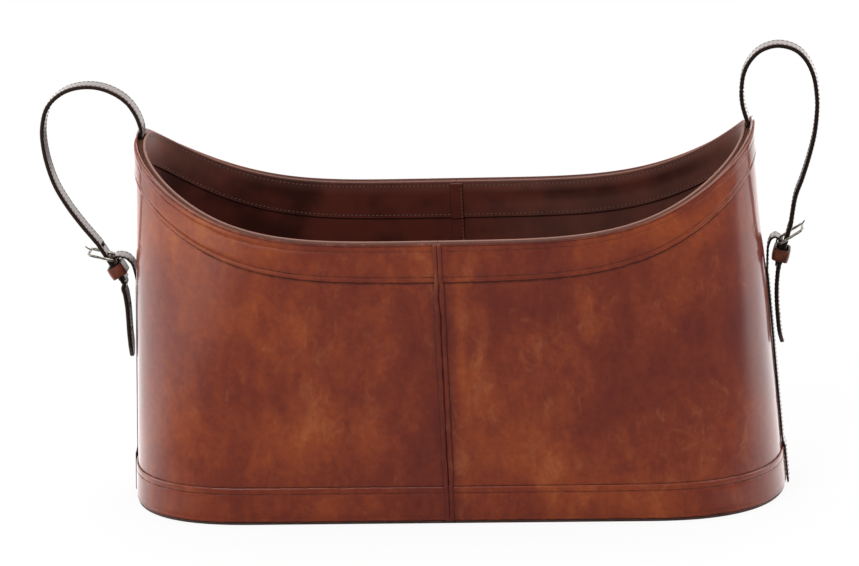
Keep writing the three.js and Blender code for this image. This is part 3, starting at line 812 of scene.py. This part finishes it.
def wallStitches(start, end, level):
    start, end = start + inside["stitchMargin"], end - inside["stitchMargin"]
    count = int(rimOutline.length * (end - start) / inside["stitchPitch"])
    near = 0.002
    places = []
    for step in range(count):
        around = start + (end - start) * (step + 0.5) / count
        point = wallPoint(around, level(around), insideDepth)
        after = wallPoint(around + near, level(around + near), insideDepth)
        outward = -wallOut(around, point.z)
        lean = Matrix.Rotation(math.radians(inside["stitchLean"]), 3, outward)
        places.append((point, lean @ (after - point).normalized(), outward))
    return places


def buildInside():
    count = inside["columns"]
    for name, (_, start, end) in halves.items():
        lining = shapeWall(name, count, liningRows(), atHeight(liningFoot), facingFoot, -0.8, liningSheen)
        finishPiece(lining, f"{name}Lining", liningLook)
        # painted highlight on the facing's edges: strong at the front and the ends, weak at the back
        facing = shapeWall(
            name, count, facingRows(), facingFoot, rimHeight, tone=facingSheen, lip=lipHighlight(0.8, 0.85, 0.25))
        for level in (
            lambda around: rimHeight(around) - inside["topStitch"],
            lambda around: facingFoot(around) + inside["footStitch"],
        ):
            addStitches(facing, wallStitches(start, end, level), inside)
        finishPiece(facing, f"{name}Facing", liningLook, liningThread)


buildInside()
print("lining made")


# Base: leather sole and floor lining, each a plate whose edge follows the wall

base = {"columns": 240, "soleInset": 1, "soleRounding": 0.5, "floorRounding": 0.3}


def shapePlate(depth, foot, thickness, rounding):
    bm = bmesh.new()
    bmesh.ops.create_circle(bm, cap_ends=True, segments=base["columns"], radius=1)
    for index, vert in enumerate(bm.verts):
        vert.co = wallPoint(4 * index / base["columns"], foot, depth)
    made = bmesh.ops.extrude_face_region(bm, geom=bm.faces[:])
    bmesh.ops.translate(bm, verts=newVerts(made), vec=(0, 0, thickness))
    bmesh.ops.recalc_face_normals(bm, faces=bm.faces)
    softenEdges(bm, 60, rounding, 3)
    return bm


def softenEdges(bm, fold, rounding, segments):  # bevels the edges that fold by more than so many degrees
    edges = [edge for edge in bm.edges if abs(edge.calc_face_angle(0)) > math.radians(fold)]
    bmesh.ops.bevel(
        bm, geom=edges, offset=rounding, affect="EDGES", segments=segments, profile=0.5, material=-1)


def buildBase():
    finishPiece(shapePlate(base["soleInset"], 0, tub["sole"], base["soleRounding"]), "sole", soleLook)
    floor = shapePlate(facingDepth, liningFoot, tub["floor"], base["floorRounding"])
    finishPiece(floor, "floorLining", liningLook)


buildBase()
print("base made")


# Seam strips at the middle of the front and the back

seam = {
    "halfWidth": 3.2, "bodyHalfWidth": 3.75, "face": 1.0, "bodySink": 0.35, "hidden": 0.15,
    "bandFade": 1.5,  # over which the strip steps off each band
    "wobble": 0.55, "wobbleSize": 9, "lump": 0.25, "lumpSize": 12,
    "liningHalfWidth": 4.5, "liningThickness": 0.8, "liningStandOff": 0.12, "liningTopDrop": 1.6,
    "stitchMargin": 3, "stitchAcross": 0.72,
}
sides = {"front": -1, "back": 1}


def buildWelts():
    top = tub["middleHeight"]
    foot = top - tub["topBandAtMiddle"]
    bandTop, fade = tub["bottomBandTop"], seam["bandFade"]
    levels = [wallFoot + rise for rise in (0, 0.3, 1, 3, 8, 14, 20)]
    levels += spread(bandTop - fade, bandTop + fade, 3)
    levels += spread(bandTop + 4, foot - 4, 60) + spread(foot - fade, foot + fade, 3)
    levels += [foot + 6, foot + 13, foot + 20, top - 3, top - 1.2, top - 0.5]
    # line: dark creased lines, partly painted shade where the strip meets the panel and along its middle
    # from the strip's middle to its edge: share of the half width, rise over its hidden face, line
    half = [
        (0.09, 0.6, 0.5), (0.22, 0.9, 0.1), (0.55, 1, 0), (0.84, 0.85, 0.35), (0.96, 0.55, 0.7), (1, 0, 0.8)]
    across = [(-share, rise, line) for share, rise, line in half[::-1]] + [(0, 0.25, 0.75)] + half
    for name, sign in sides.items():
        def place(height, index, side, sign=sign):
            share, rise, line = across[index]
            inBody = clamp((height - bandTop) / fade) * clamp((foot - height) / fade)
            halfWidth = seam["halfWidth"] + (seam["bodyHalfWidth"] - seam["halfWidth"]) * inBody
            wobble = seam["wobble"] * drift(index * 0.3, height / seam["wobbleSize"], 5.5 * sign)
            x = share * halfWidth + wobble * (0.4 + inBody) * (1 - abs(share) * 0.4)
            ending = min(height - wallFoot, (top - 0.5 - height) / 0.7, 1)
            hidden = seam["hidden"] - inBody * (panelDepth - 0.05)
            face = seam["face"] - seam["bodySink"] * inBody
            face += seam["lump"] * drift(share * 2, height / seam["lumpSize"], 9.1)
            stand = hidden if side else hidden + (face - hidden) * rise * max(ending, 0.15) ** 0.5
            point = Vector((-sign * x, sign * (skinReach(height, "Depth") + stand), height))
            return point, (0 if side else line, 0, dyeAndLightTone(point) - 0.04)

        finishPiece(shapeSlab(levels, len(across), place), f"{name}SeamStrip", skinLook)


def buildLiningStrips():
    top = tub["middleHeight"] - seam["liningTopDrop"]
    foot = tub["middleHeight"] - tub["topBandAtMiddle"]
    onLining = liningDepth + tub["lining"]
    levels = spread(floorTop + tub["glue"], foot - 1, 40) + spread(foot, foot + 1, 2)
    levels += spread(foot + 4, top - 0.6, 5) + [top - 0.2, top]
    half = seam["liningHalfWidth"]
    offsets = [-1, -0.985, -0.93, -0.7, -0.3, 0, 0.3, 0.6, 0.76, 0.93, 0.985, 1]
    rises = [0.1, 0.6, 0.95, 1, 1, 1, 1, 1, 1, 0.95, 0.6, 0.1]
    for name, sign in sides.items():
        def place(height, index, side, sign=sign):
            onFacing = clamp(height - foot + 1)
            stand = onLining + seam["liningStandOff"] + onFacing * (insideDepth - onLining)
            if not side:
                stand += seam["liningThickness"] * rises[index] * clamp((top - height) / 0.6, 0.1)
            line = 1.0 if abs(offsets[index]) > 0.95 and not side else 0.0
            point = Vector((offsets[index] * half, sign * (skinReach(height, "Depth") - stand), height))
            return point, (line, 0, 0)

        strip = shapeSlab(levels, len(offsets), place)
        stitches = []
        margin, pitch = seam["stitchMargin"], inside["stitchPitch"]
        for step in range(int((top - floorTop - margin - 1) / pitch)):
            point = place(floorTop + margin + step * pitch, 8, 0)[0]
            point.x = half * seam["stitchAcross"]
            stitches.append((point, Vector((0.2, 0, 1)).normalized(), Vector((0, -sign, 0))))
        addStitches(strip, stitches, inside)
        finishPiece(strip, f"{name}LiningStrip", liningLook, liningThread)


buildWelts()
buildLiningStrips()
print("seams made")


# Handles: straps, chapes, keepers and buckles, drawn outward and up in a side view

strap = {
    "width": 12.5, "thickness": 2.8, "stripThickness": 1.4, "rootDepth": 35, "rootStandOut": 1,
    "straightAbove": 13, "straightBelow": 14.5, "tailDrop": 57, "tailStand": 4.2, "tipLength": 9,
    "tipWidth": 3, "endRounding": 0.4,
    "tailHoleDrops": (20, 38), "holeLength": 4.4, "holeWidth": 2.8, "holeRoom": 0.6,
    "stripDrop": 103.5, "bandStep": 5, "flapLength": 16, "swingGap": 0.9,
    "rootSpan": 24,  # of the loop above the rim, which is part of the root piece
    "loopAtLeast": 100,  # along the rest of the loop before the prong's hole is looked for
    "rootFold": (3, 9), "tailFold": (0.5, 7), "chapeFold": (0.8, 4.3),  # places on the root, the tail and the chape, in millimetres
    "stitchPitch": 3.0, "stitchInset": 1.75, "stitchLength": 2.2, "stitchWidth": 0.6,
    "stitchHeight": 0.4, "stitchLean": 10, "scallop": 0.22, "scallopReach": 0.5, "step": 0.75,
}
buckle = {
    "wire": 0.95, "wrapGap": 0.3, "length": 19, "sideGap": 0.7, "corner": 2.4,
    "prong": 0.85, "prongTip": 0.45, "prongReach": 4.2, "eyeGap": 0.25, "eyeWall": 1.1,
    "slotHalf": 1.8, "slotReach": 6.5, "prongRoom": 1.8,
    "frameSteps": (132, 14), "eyeSteps": (36, 12), "shankSteps": (60, 12), "shankEnds": 0.03,
}
keeper = {
    "start": 3.5, "height": 8.5, "wall": 1.6, "gap": 0.4, "slack": 1.8,
    "sides": 72, "rows": 10, "squareness": 9, "bulge": 0.35, "rounding": 0.4,
}
handles = {
    "left": {
        "sign": -1, "barDrop": 88.5, "barStand": 14.8, "frameTilt": 14, "strapTilt": 61,
        "loopReach": 69.2, "loopRise": 36.5, "archRise": 2.6, "wrapStart": 45,
        "loop": [(0, 0.763), (0.04, 0.834), (0.12, 0.905), (0.24, 0.958), (0.39, 0.992), (0.55, 1),
                 (0.71, 0.982), (0.845, 0.938), (0.94, 0.874), (0.99, 0.783), (1, 0.691),
                 (0.975, 0.57), (0.91, 0.438), (0.805, 0.321), (0.68, 0.213), (0.555, 0.119)],
        "tail": [(0.105, 2.25), (0.18, 1.95), (0.34, 1.62), (0.5, 1.45), (0.68, 1.31), (0.83, 1.12),
                 (1, 0.97)],
        "arch": [(0.18, -1.7), (0.325, -0.38), (0.47, 0.42), (0.7, 0.85), (0.93, 0.92)],
    },
    "right": {
        "sign": 1, "barDrop": 84.5, "barStand": 9.4, "frameTilt": 32, "strapTilt": 74,
        "loopReach": 46.9, "loopRise": 55.5, "archRise": 4.6, "wrapStart": 40,
        "loop": [(-0.04, 0.658), (-0.077, 0.716), (-0.083, 0.781), (-0.046, 0.86), (0.05, 0.926),
                 (0.215, 0.978), (0.45, 1), (0.69, 0.98), (0.857, 0.926), (0.963, 0.842),
                 (1, 0.744), (0.996, 0.66), (0.954, 0.551), (0.872, 0.442), (0.764, 0.33),
                 (0.656, 0.232)],
        "tail": [(0.096, 1.62), (0.257, 1.26), (0.42, 1.07), (0.58, 1), (0.82, 1.03), (1, 1.33)],
        "arch": [(0.16, -1.25), (0.24, -0.25), (0.42, 0.62), (0.7, 1), (0.95, 0.78)],
    },
}
wrapRadius = buckle["wire"] + buckle["wrapGap"] + strap["stripThickness"] / 2
strapOffset = wrapRadius + strap["stripThickness"] / 2 + tub["glue"] + strap["thickness"] / 2
rootLean = coreDepth + tub["core"] / 2


def wayAt(degrees):
    return Vector((math.cos(math.radians(degrees)), math.sin(math.radians(degrees))))


def inSpace(point, sign, across=0.0):  # from the side view to its place at one end
    return Vector((sign * point.x, across, point.y))


def softCurve(points, steps=24):  # a smooth curve through all the points
    line = []
    for index in range(len(points) - 1):
        a, b = points[max(index - 1, 0)], points[index]
        c, d = points[index + 1], points[min(index + 2, len(points) - 1)]
        leave, arrive = (c - a) * 0.5, (d - b) * 0.5
        for step in range(steps):
            t = step / steps
            line.append(
                (2 * b - 2 * c + leave + arrive) * t ** 3
                + (3 * c - 3 * b - 2 * leave - arrive) * t ** 2 + leave * t + b)
    line.append(points[-1].copy())
    return line


# across a strap: distance from its edge, share of its thickness, how far the edge paint covers it
strapEdge = [
    (0.0, 0.3, 1.0), (0.1, 0.62, 1.0), (0.32, 0.88, 0.8), (0.7, 1.0, 0.1), (1.3, 1.0, 0.0), (2.6, 1.0, 0.0)]


def buildStrap(name, body, sign, path, start, end, thickness, unstitched, narrow=None, gaps=None):
    half = strap["width"] / 2
    rows = [(-half + inset, thick, paintOn) for inset, thick, paintOn in strapEdge]
    rows += [(0.0, 1.0, 0.0)] + [(half - inset, thick, paintOn) for inset, thick, paintOn in strapEdge[::-1]]
    count = max(int((end - start) / strap["step"]), 4)

    def pointAt(along, across, rise):  # rise from the middle line, positive towards the outer face
        way = path.way(along)
        return inSpace(path.at(along) + Vector((-way.y, way.x)) * rise, sign, across)

    def place(along, index, deep):
        across, thick, paintOn = rows[index]
        share = narrow(along) if narrow else 1.0
        beat = 0.5 - 0.5 * math.cos(2 * math.pi * along / strap["stitchPitch"])
        nearEdge = max(0, 1 - (half - abs(across)) / strap["scallopReach"])
        across = across * share - math.copysign(strap["scallop"] * beat * nearEdge, across)
        ending = clamp(min(along - start, end - along) / strap["endRounding"])
        rise = (0.5 - deep) * thickness * thick * (0.75 + 0.25 * ending)
        return pointAt(along, across, rise), (paintOn, 0, 0)

    def isGap(middle):  # between two rows, the place across the strap is between theirs
        low = int(middle.y)
        nextRow = rows[min(low + 1, len(rows) - 1)]
        return gaps(middle.x, rows[low][0] + (nextRow[0] - rows[low][0]) * (middle.y - low))

    bm = shapeSlab(spread(start, end, count), len(rows), place, gaps and isGap)
    stitches = []
    before, after = unstitched
    for step in range(int((end - start - before - after) / strap["stitchPitch"])):
        along = start + before + (step + 0.5) * strap["stitchPitch"]
        reach = (half - strap["stitchInset"]) * (narrow(along) if narrow else 1.0)
        for edge, face in ((-1, -1), (-1, 1), (1, -1), (1, 1)):
            outward = (pointAt(along, 0, face) - pointAt(along, 0, 0)).normalized()
            lean = Matrix.Rotation(math.radians(strap["stitchLean"] * face), 3, outward)
            point = pointAt(along, edge * reach, face * thickness / 2)
            stitches.append((point, lean @ inSpace(path.way(along), sign), outward))
    addStitches(bm, stitches, strap)
    return finishPiece(bm, name, strapLook, strapThread, body=body)


def inHole(along, across, middle, halfLength):
    halfWidth = strap["holeWidth"] / 2 + strap["holeRoom"]
    return ((along - middle) / halfLength) ** 2 + (across / halfWidth) ** 2 < 1


def buildHandle(name, side):
    sign, handleBody = side["sign"], f"{name}_handle"
    endHeight, thick, thin = tub["endHeight"], strap["thickness"], strap["stripThickness"]
    barHeight = endHeight - side["barDrop"]
    bar = Vector((skinReach(barHeight) + side["barStand"], barHeight))
    strapWay = wayAt(side["strapTilt"])
    outward = wayAt(side["strapTilt"] - 90)

    def byStrap(along, stand):
        return bar + strapWay * along + outward * stand

    def bend(piece, first, second, start, end):
        start, end = inSpace(start, sign) * millimetre, inSpace(end, sign) * millimetre
        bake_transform(piece)
        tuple(start)
        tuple(end)

    # The strap's whole length: root in the wall, loop, and the straight part by the buckle
    rootTop = endHeight + strap["rootStandOut"]
    start = Vector((skinReach(rootTop) - rootLean, rootTop + strap["swingGap"]))
    loopHeight = side["barDrop"] + side["loopRise"]
    loop = [start] + [
        Vector((start.x + reach * side["loopReach"], barHeight + rise * loopHeight))
        for reach, rise in side["loop"]
    ]
    loop += [byStrap(strap["straightAbove"] + rise, strapOffset) for rise in (thick, 0)]
    rootHeights = spread(rootTop - strap["rootDepth"] - strap["rootStandOut"], rootTop, 12)
    root = [Vector((skinReach(height) - rootLean, height)) for height in rootHeights]
    strapEnd = byStrap(-strap["straightBelow"] - strap["swingGap"] / 2, strapOffset)
    whole = Path(root + softCurve(loop) + [strapEnd])
    rootLength = whole.where(lambda point: point.y >= start.y)
    split = rootLength + strap["rootSpan"]
    rootPiece = buildStrap(f"{name}StrapRoot", None, sign, whole, 0, split, thick, (rootLength + 3, 0))
    below, above = strap["rootFold"]
    bend(rootPiece, "tub", handleBody, start - Vector((0, below)), start + Vector((0, above)))

    # The prong's way through the strap
    prongRest = buckle["wire"] + tub["glue"] + buckle["prong"]
    crossing = math.radians(side["strapTilt"] - side["frameTilt"])
    holeMiddle = byStrap((prongRest + strapOffset * math.cos(crossing)) / math.sin(crossing), strapOffset)
    pastLoop = [pair for pair in zip(whole.lengths, whole.points) if pair[0] > split + strap["loopAtLeast"]]
    holeAt = min(pastLoop, key=lambda pair: (pair[1] - holeMiddle).length)[0]
    holeHalf = (buckle["prong"] + buckle["prongRoom"]) / math.sin(crossing)
    buildStrap(
        f"{name}HandleStrap", handleBody, sign, whole, split, whole.length, thick, (0, 1),
        gaps=lambda along, across: inHole(along, across, holeAt, holeHalf))

    # Tail
    below = strap["straightBelow"] + strap["swingGap"]
    tailPoints = [strapEnd, byStrap(-below - thick, strapOffset)]
    for drop, stand in side["tail"]:
        height = byStrap(-below, strapOffset).y - drop * strap["tailDrop"]
        tailPoints.append(Vector((skinReach(height) + stand * strap["tailStand"], height)))
    tail = Path(softCurve(tailPoints))

    def taper(along):
        share = clamp((tail.length - along) / strap["tipLength"])
        narrowest = strap["tipWidth"] / strap["width"]
        return narrowest + (1 - narrowest) * share ** 0.7

    def tailGap(along, across):
        return any(inHole(along, across, drop, strap["holeLength"] / 2) for drop in strap["tailHoleDrops"])

    tailPiece = buildStrap(
        f"{name}StrapTail", None, sign, tail, 0, tail.length, thick, (1, 5), taper, tailGap)
    bend(tailPiece, handleBody, f"{name}_tail", *[tail.at(place) for place in strap["tailFold"]])

    # Strip down the wall, and the chape that holds the buckle
    stripTop = endHeight - strap["stripDrop"]

    def onBand(height):
        return Vector((skinReach(height) + tub["glue"] + thin / 2, height))

    def onPanel(height):
        return onBand(height) - Vector((panelDepth, 0))

    arch = [onPanel(stripTop - strap["bandStep"]), onPanel(stripTop)]
    for reach, rise in side["arch"]:
        reach = skinReach(barHeight) + reach * side["barStand"]
        arch.append(Vector((reach, barHeight + rise * side["archRise"])))
    wrap = [bar + wayAt(turn) * wrapRadius for turn in spread(side["wrapStart"], side["strapTilt"] - 90, 14)]
    bandTop = tub["bottomBandTop"] + tub["glue"]
    wall = [onBand(height) for height in spread(tub["glue"], bandTop, 9)]
    wall += softCurve([onBand(bandTop)] + [onPanel(bandTop + step * strap["bandStep"]) for step in (1, 3)], 8)
    strip = Path(wall + softCurve(arch + [wrap[0]]) + wrap[1:] + [byStrap(-strap["flapLength"], wrapRadius)])
    parting = strip.where(lambda point: point.y >= stripTop)
    buildStrap(f"{name}EndStrap", "tub", sign, strip, 0, parting, thin, (1, 0))

    def prongSlot(along, across):
        return (strip.at(along) - bar).length < buckle["slotReach"] and abs(across) < buckle["slotHalf"]

    chape = buildStrap(
        f"{name}Chape", None, sign, strip, parting, strip.length, thin, (0, 1), gaps=prongSlot)
    folds = [Vector((skinReach(stripTop) + reach, barHeight)) for reach in strap["chapeFold"]]
    bend(chape, "tub", handleBody, *folds)
    buildKeeper(name, sign, byStrap)
    buildBuckle(name, sign, bar, side["frameTilt"], prongRest)


def buildKeeper(name, sign, byStrap):
    half = strap["width"] / 2 + keeper["gap"]
    low = wrapRadius - strap["stripThickness"] / 2 - keeper["slack"]
    high = strapOffset + strap["thickness"] / 2 + keeper["slack"]
    middle = (low + high) / 2

    def place(turn, share):  # a power curve, close to the strap that it holds
        way, power = wayAt(360 * turn), keeper["squareness"]
        way *= (abs(way.x) ** power + abs(way.y) ** power) ** (-1 / power)
        bulge = 0.6 + 0.4 * noise.noise(Vector((way.x, way.y, share)) * 1.3)
        bulge *= keeper["bulge"] * math.sin(math.pi * share)
        stand = middle + way.y * ((high - low) / 2 + bulge)
        point = byStrap(-keeper["start"] - keeper["height"] * share, stand)
        return inSpace(point, sign, way.x * (half + bulge))

    bm = shapeRing(keeper["sides"], keeper["rows"], place)
    painted = [bm.verts.layers.float.new(mark) for mark in markNames][0]
    for vert in bm.verts:
        vert[painted] = float(vert.is_boundary)
    bm.faces.ensure_lookup_table()
    first = bm.faces[0]
    centre = inSpace(byStrap(-keeper["start"] - keeper["height"] / 2, middle), sign)
    outwards = first.normal.dot(first.calc_center_median() - centre) > 0
    bmesh.ops.solidify(bm, geom=bm.faces[:], thickness=-keeper["wall"] if outwards else keeper["wall"])
    bmesh.ops.recalc_face_normals(bm, faces=bm.faces)
    softenEdges(bm, 50, keeper["rounding"], 2)
    finishPiece(bm, f"{name}Keeper", keeperLook, body=f"{name}_keeper")


def buildBuckle(name, sign, bar, tilt, prongRest):
    frameWay = wayAt(tilt)
    up = wayAt(tilt + 90)
    reach = strap["width"] / 2 + buckle["sideGap"] + buckle["wire"]
    length, corner, eyeHalf = buckle["length"], buckle["corner"], buckle["eyeWall"] / 2

    def byBar(along, across, rise):
        return inSpace(bar + frameWay * along + up * rise, sign, across)

    outline = []
    for x, y, turn in ((length, reach, 0), (0, reach, 90), (0, -reach, 180), (length, -reach, 270)):
        centre = Vector((x - math.copysign(corner, x - 1), y - math.copysign(corner, y)))
        outline += [centre + wayAt(angle) * corner for angle in spread(turn, turn + 90, 8)]
    ring = Path(outline + [outline[0].copy()])

    def wirePoint(share, turn):
        along = (share % 1) * ring.length
        near = 0.15
        way = (ring.at((along + near) % ring.length) - ring.at((along - near) % ring.length)).normalized()
        section = wayAt(360 * turn) * buckle["wire"]
        flat = ring.at(along) + Vector((way.y, -way.x)) * section.x
        return byBar(flat.x, flat.y, section.y)

    frameRing = shapeRing(*buckle["frameSteps"], wirePoint)
    finishPiece(frameRing, f"{name}BuckleFrame", nickel, body=f"{name}_buckle")

    eyeMiddle = buckle["wire"] + buckle["eyeGap"] + eyeHalf

    def eyePoint(share, turn):
        section = wayAt(360 * turn)
        out = wayAt(360 * share) * (eyeMiddle + section.x * eyeHalf)
        return byBar(out.x, section.y * buckle["prong"], out.y)

    # along the prong, and its rise over where it rests
    bend = Path(softCurve([Vector((along, prongRest + rise)) for along, rise in (
        (0.4, eyeMiddle + 0.1 - prongRest), (3, 0.1), (9, 0.05), (length - 2, 0), (length + 1.2, -0.15),
        (length + buckle["prongReach"], 1.1))], 10))

    def shankPoint(share, turn):
        along = share * bend.length
        way = bend.way(along, 0.4)
        radius = buckle["prong"] + (buckle["prongTip"] - buckle["prong"]) * share ** 2
        ends = clamp(min(share, 1 - share) / buckle["shankEnds"])
        section = wayAt(360 * turn) * (radius * math.sqrt(max(1 - (1 - ends) ** 2, 0)))
        point = bend.at(along) + Vector((-way.y, way.x)) * section.y
        return byBar(point.x, section.x, point.y)

    prong = shapeRing(*buckle["eyeSteps"], eyePoint)
    joinTo(prong, shapeRing(*buckle["shankSteps"], shankPoint))
    finishPiece(prong, f"{name}Prong", nickel, body=f"{name}_prong")


for sideName, sideValues in handles.items():
    buildHandle(sideName, sideValues)
print("handles made")


# Studio: white backdrop and floor, soft light

studio = {
    "floorSize": 6.0, "floorDrop": 0.0005, "floorWhite": 0.8, "shadowShare": 0.2, "worldLight": 0.55,
    # brightness of what the leather mirrors: in front of it, behind it, and on the floor behind and beside it
    "frontGlow": 0.14, "backGlow": 1.9, "floorGlow": 2.3,
    # metres along the floor over which that changes, and in the sky how far back the direction points
    "behind": (-0.25, 0.1), "beside": (0.16, 0.24), "leftward": (0.24, 0.75), "leftShare": 0.72,
    "skyBehind": (-0.75, 0.15),
    "fade": (0.35, 1.1),  # metres from the middle over which the shadow fades out
    "aimHeight": 0.13,
}
lamps = [  # name, place, size, watts: all face the basket
    ("keyLight", (-0.9, -1.5, 1.7), 1.3, 24),
    ("fillLight", (1.5, -1.4, 1.0), 1.2, 7),
    ("topLight", (0.0, 0.6, 1.9), 1.6, 22),
    ("leftStrip", (-1.5, -0.1, 0.5), 0.9, 7),
    ("rightStrip", (1.5, 0.0, 0.5), 0.9, 7),
]


def squares(values):
    return [value * value for value in values]


def buildFloor():
    bm = bmesh.new()
    bmesh.ops.create_grid(bm, x_segments=1, y_segments=1, size=studio["floorSize"] / 2)
    bmesh.ops.translate(bm, verts=bm.verts, vec=(0, 0, -studio["floorDrop"]))
    mesh = bpy.data.meshes.new("floor")
    bm.to_mesh(mesh)
    bm.free()
    floor = bpy.data.objects.new("floor", mesh)
    scene.collection.objects.link(floor)
    finish = Finish("floorWhite")
    rays = finish.node("ShaderNodeLightPath")
    direct, mirrored = finish.out(rays, "Is Camera Ray"), finish.out(rays, "Is Glossy Ray")
    spot = finish.node("ShaderNodeSeparateXYZ", None, {"Vector": finish.place()})
    along, across = finish.out(spot, "X"), finish.out(spot, "Y")
    lit = across.clear(*studio["behind"]) * (along * along).clear(*squares(studio["beside"]))
    lit = (lit + (along * -1.0).clear(*studio["leftward"]) * studio["leftShare"]).clear(0, 1)
    glossLevel = studio["frontGlow"] + lit * (studio["floorGlow"] - studio["frontGlow"])
    far = (along * along + across * across).clear(*squares(studio["fade"]))
    share = (direct * (1.0 - (1.0 - far) * studio["shadowShare"]) + mirrored).clear(0, 1)
    white = finish.node("ShaderNodeBsdfDiffuse", None, {"Color": (studio["floorWhite"],) * 3 + (1,)})
    glow = finish.node("ShaderNodeEmission", None, {
        "Color": (1, 1, 1, 1), "Strength": direct + mirrored * glossLevel * (1.0 - direct)})
    mixed = finish.node("ShaderNodeMixShader", None, {0: share, 1: finish.out(white), 2: finish.out(glow)})
    finish.node("ShaderNodeOutputMaterial", None, {"Surface": finish.out(mixed)})
    mesh.materials.append(finish.owner)


def buildSky():
    world = bpy.data.worlds.new("studio")
    scene.world = world
    sky = Finish("studio", world)
    rays = sky.node("ShaderNodeLightPath")
    direct = sky.out(rays, "Is Camera Ray")
    mirrored = (sky.out(rays, "Is Glossy Ray") + sky.out(rays, "Is Transmission Ray")).clear(0, 1)
    way = sky.out(sky.node("ShaderNodeTexCoord"), "Generated")
    parts = sky.node("ShaderNodeSeparateXYZ", None, {"Vector": way})
    behind = sky.out(parts, "Y").clear(*studio["skyBehind"])
    glossLevel = studio["frontGlow"] + behind * (studio["backGlow"] - studio["frontGlow"])
    level = studio["worldLight"] + mirrored * (glossLevel - studio["worldLight"])
    level = level + direct * (1.0 - level)
    background = sky.node("ShaderNodeBackground", None, {"Color": (1, 1, 1, 1), "Strength": level})
    sky.node("ShaderNodeOutputWorld", None, {"Surface": sky.out(background)})


def buildLamps():
    for name, place, size, watts in lamps:
        data = bpy.data.lights.new(name, "AREA")
        data.shape = "SQUARE"
        data.size = size
        data.energy = watts
        lamp = bpy.data.objects.new(name, data)
        lamp.location = place
        aim = Vector((0, 0, studio["aimHeight"])) - Vector(place)
        lamp.rotation_euler = aim.to_track_quat("-Z", "Y").to_euler()
        scene.collection.objects.link(lamp)


buildFloor()
buildSky()
buildLamps()
scene.view_settings.view_transform = "Standard"
print("studio made")
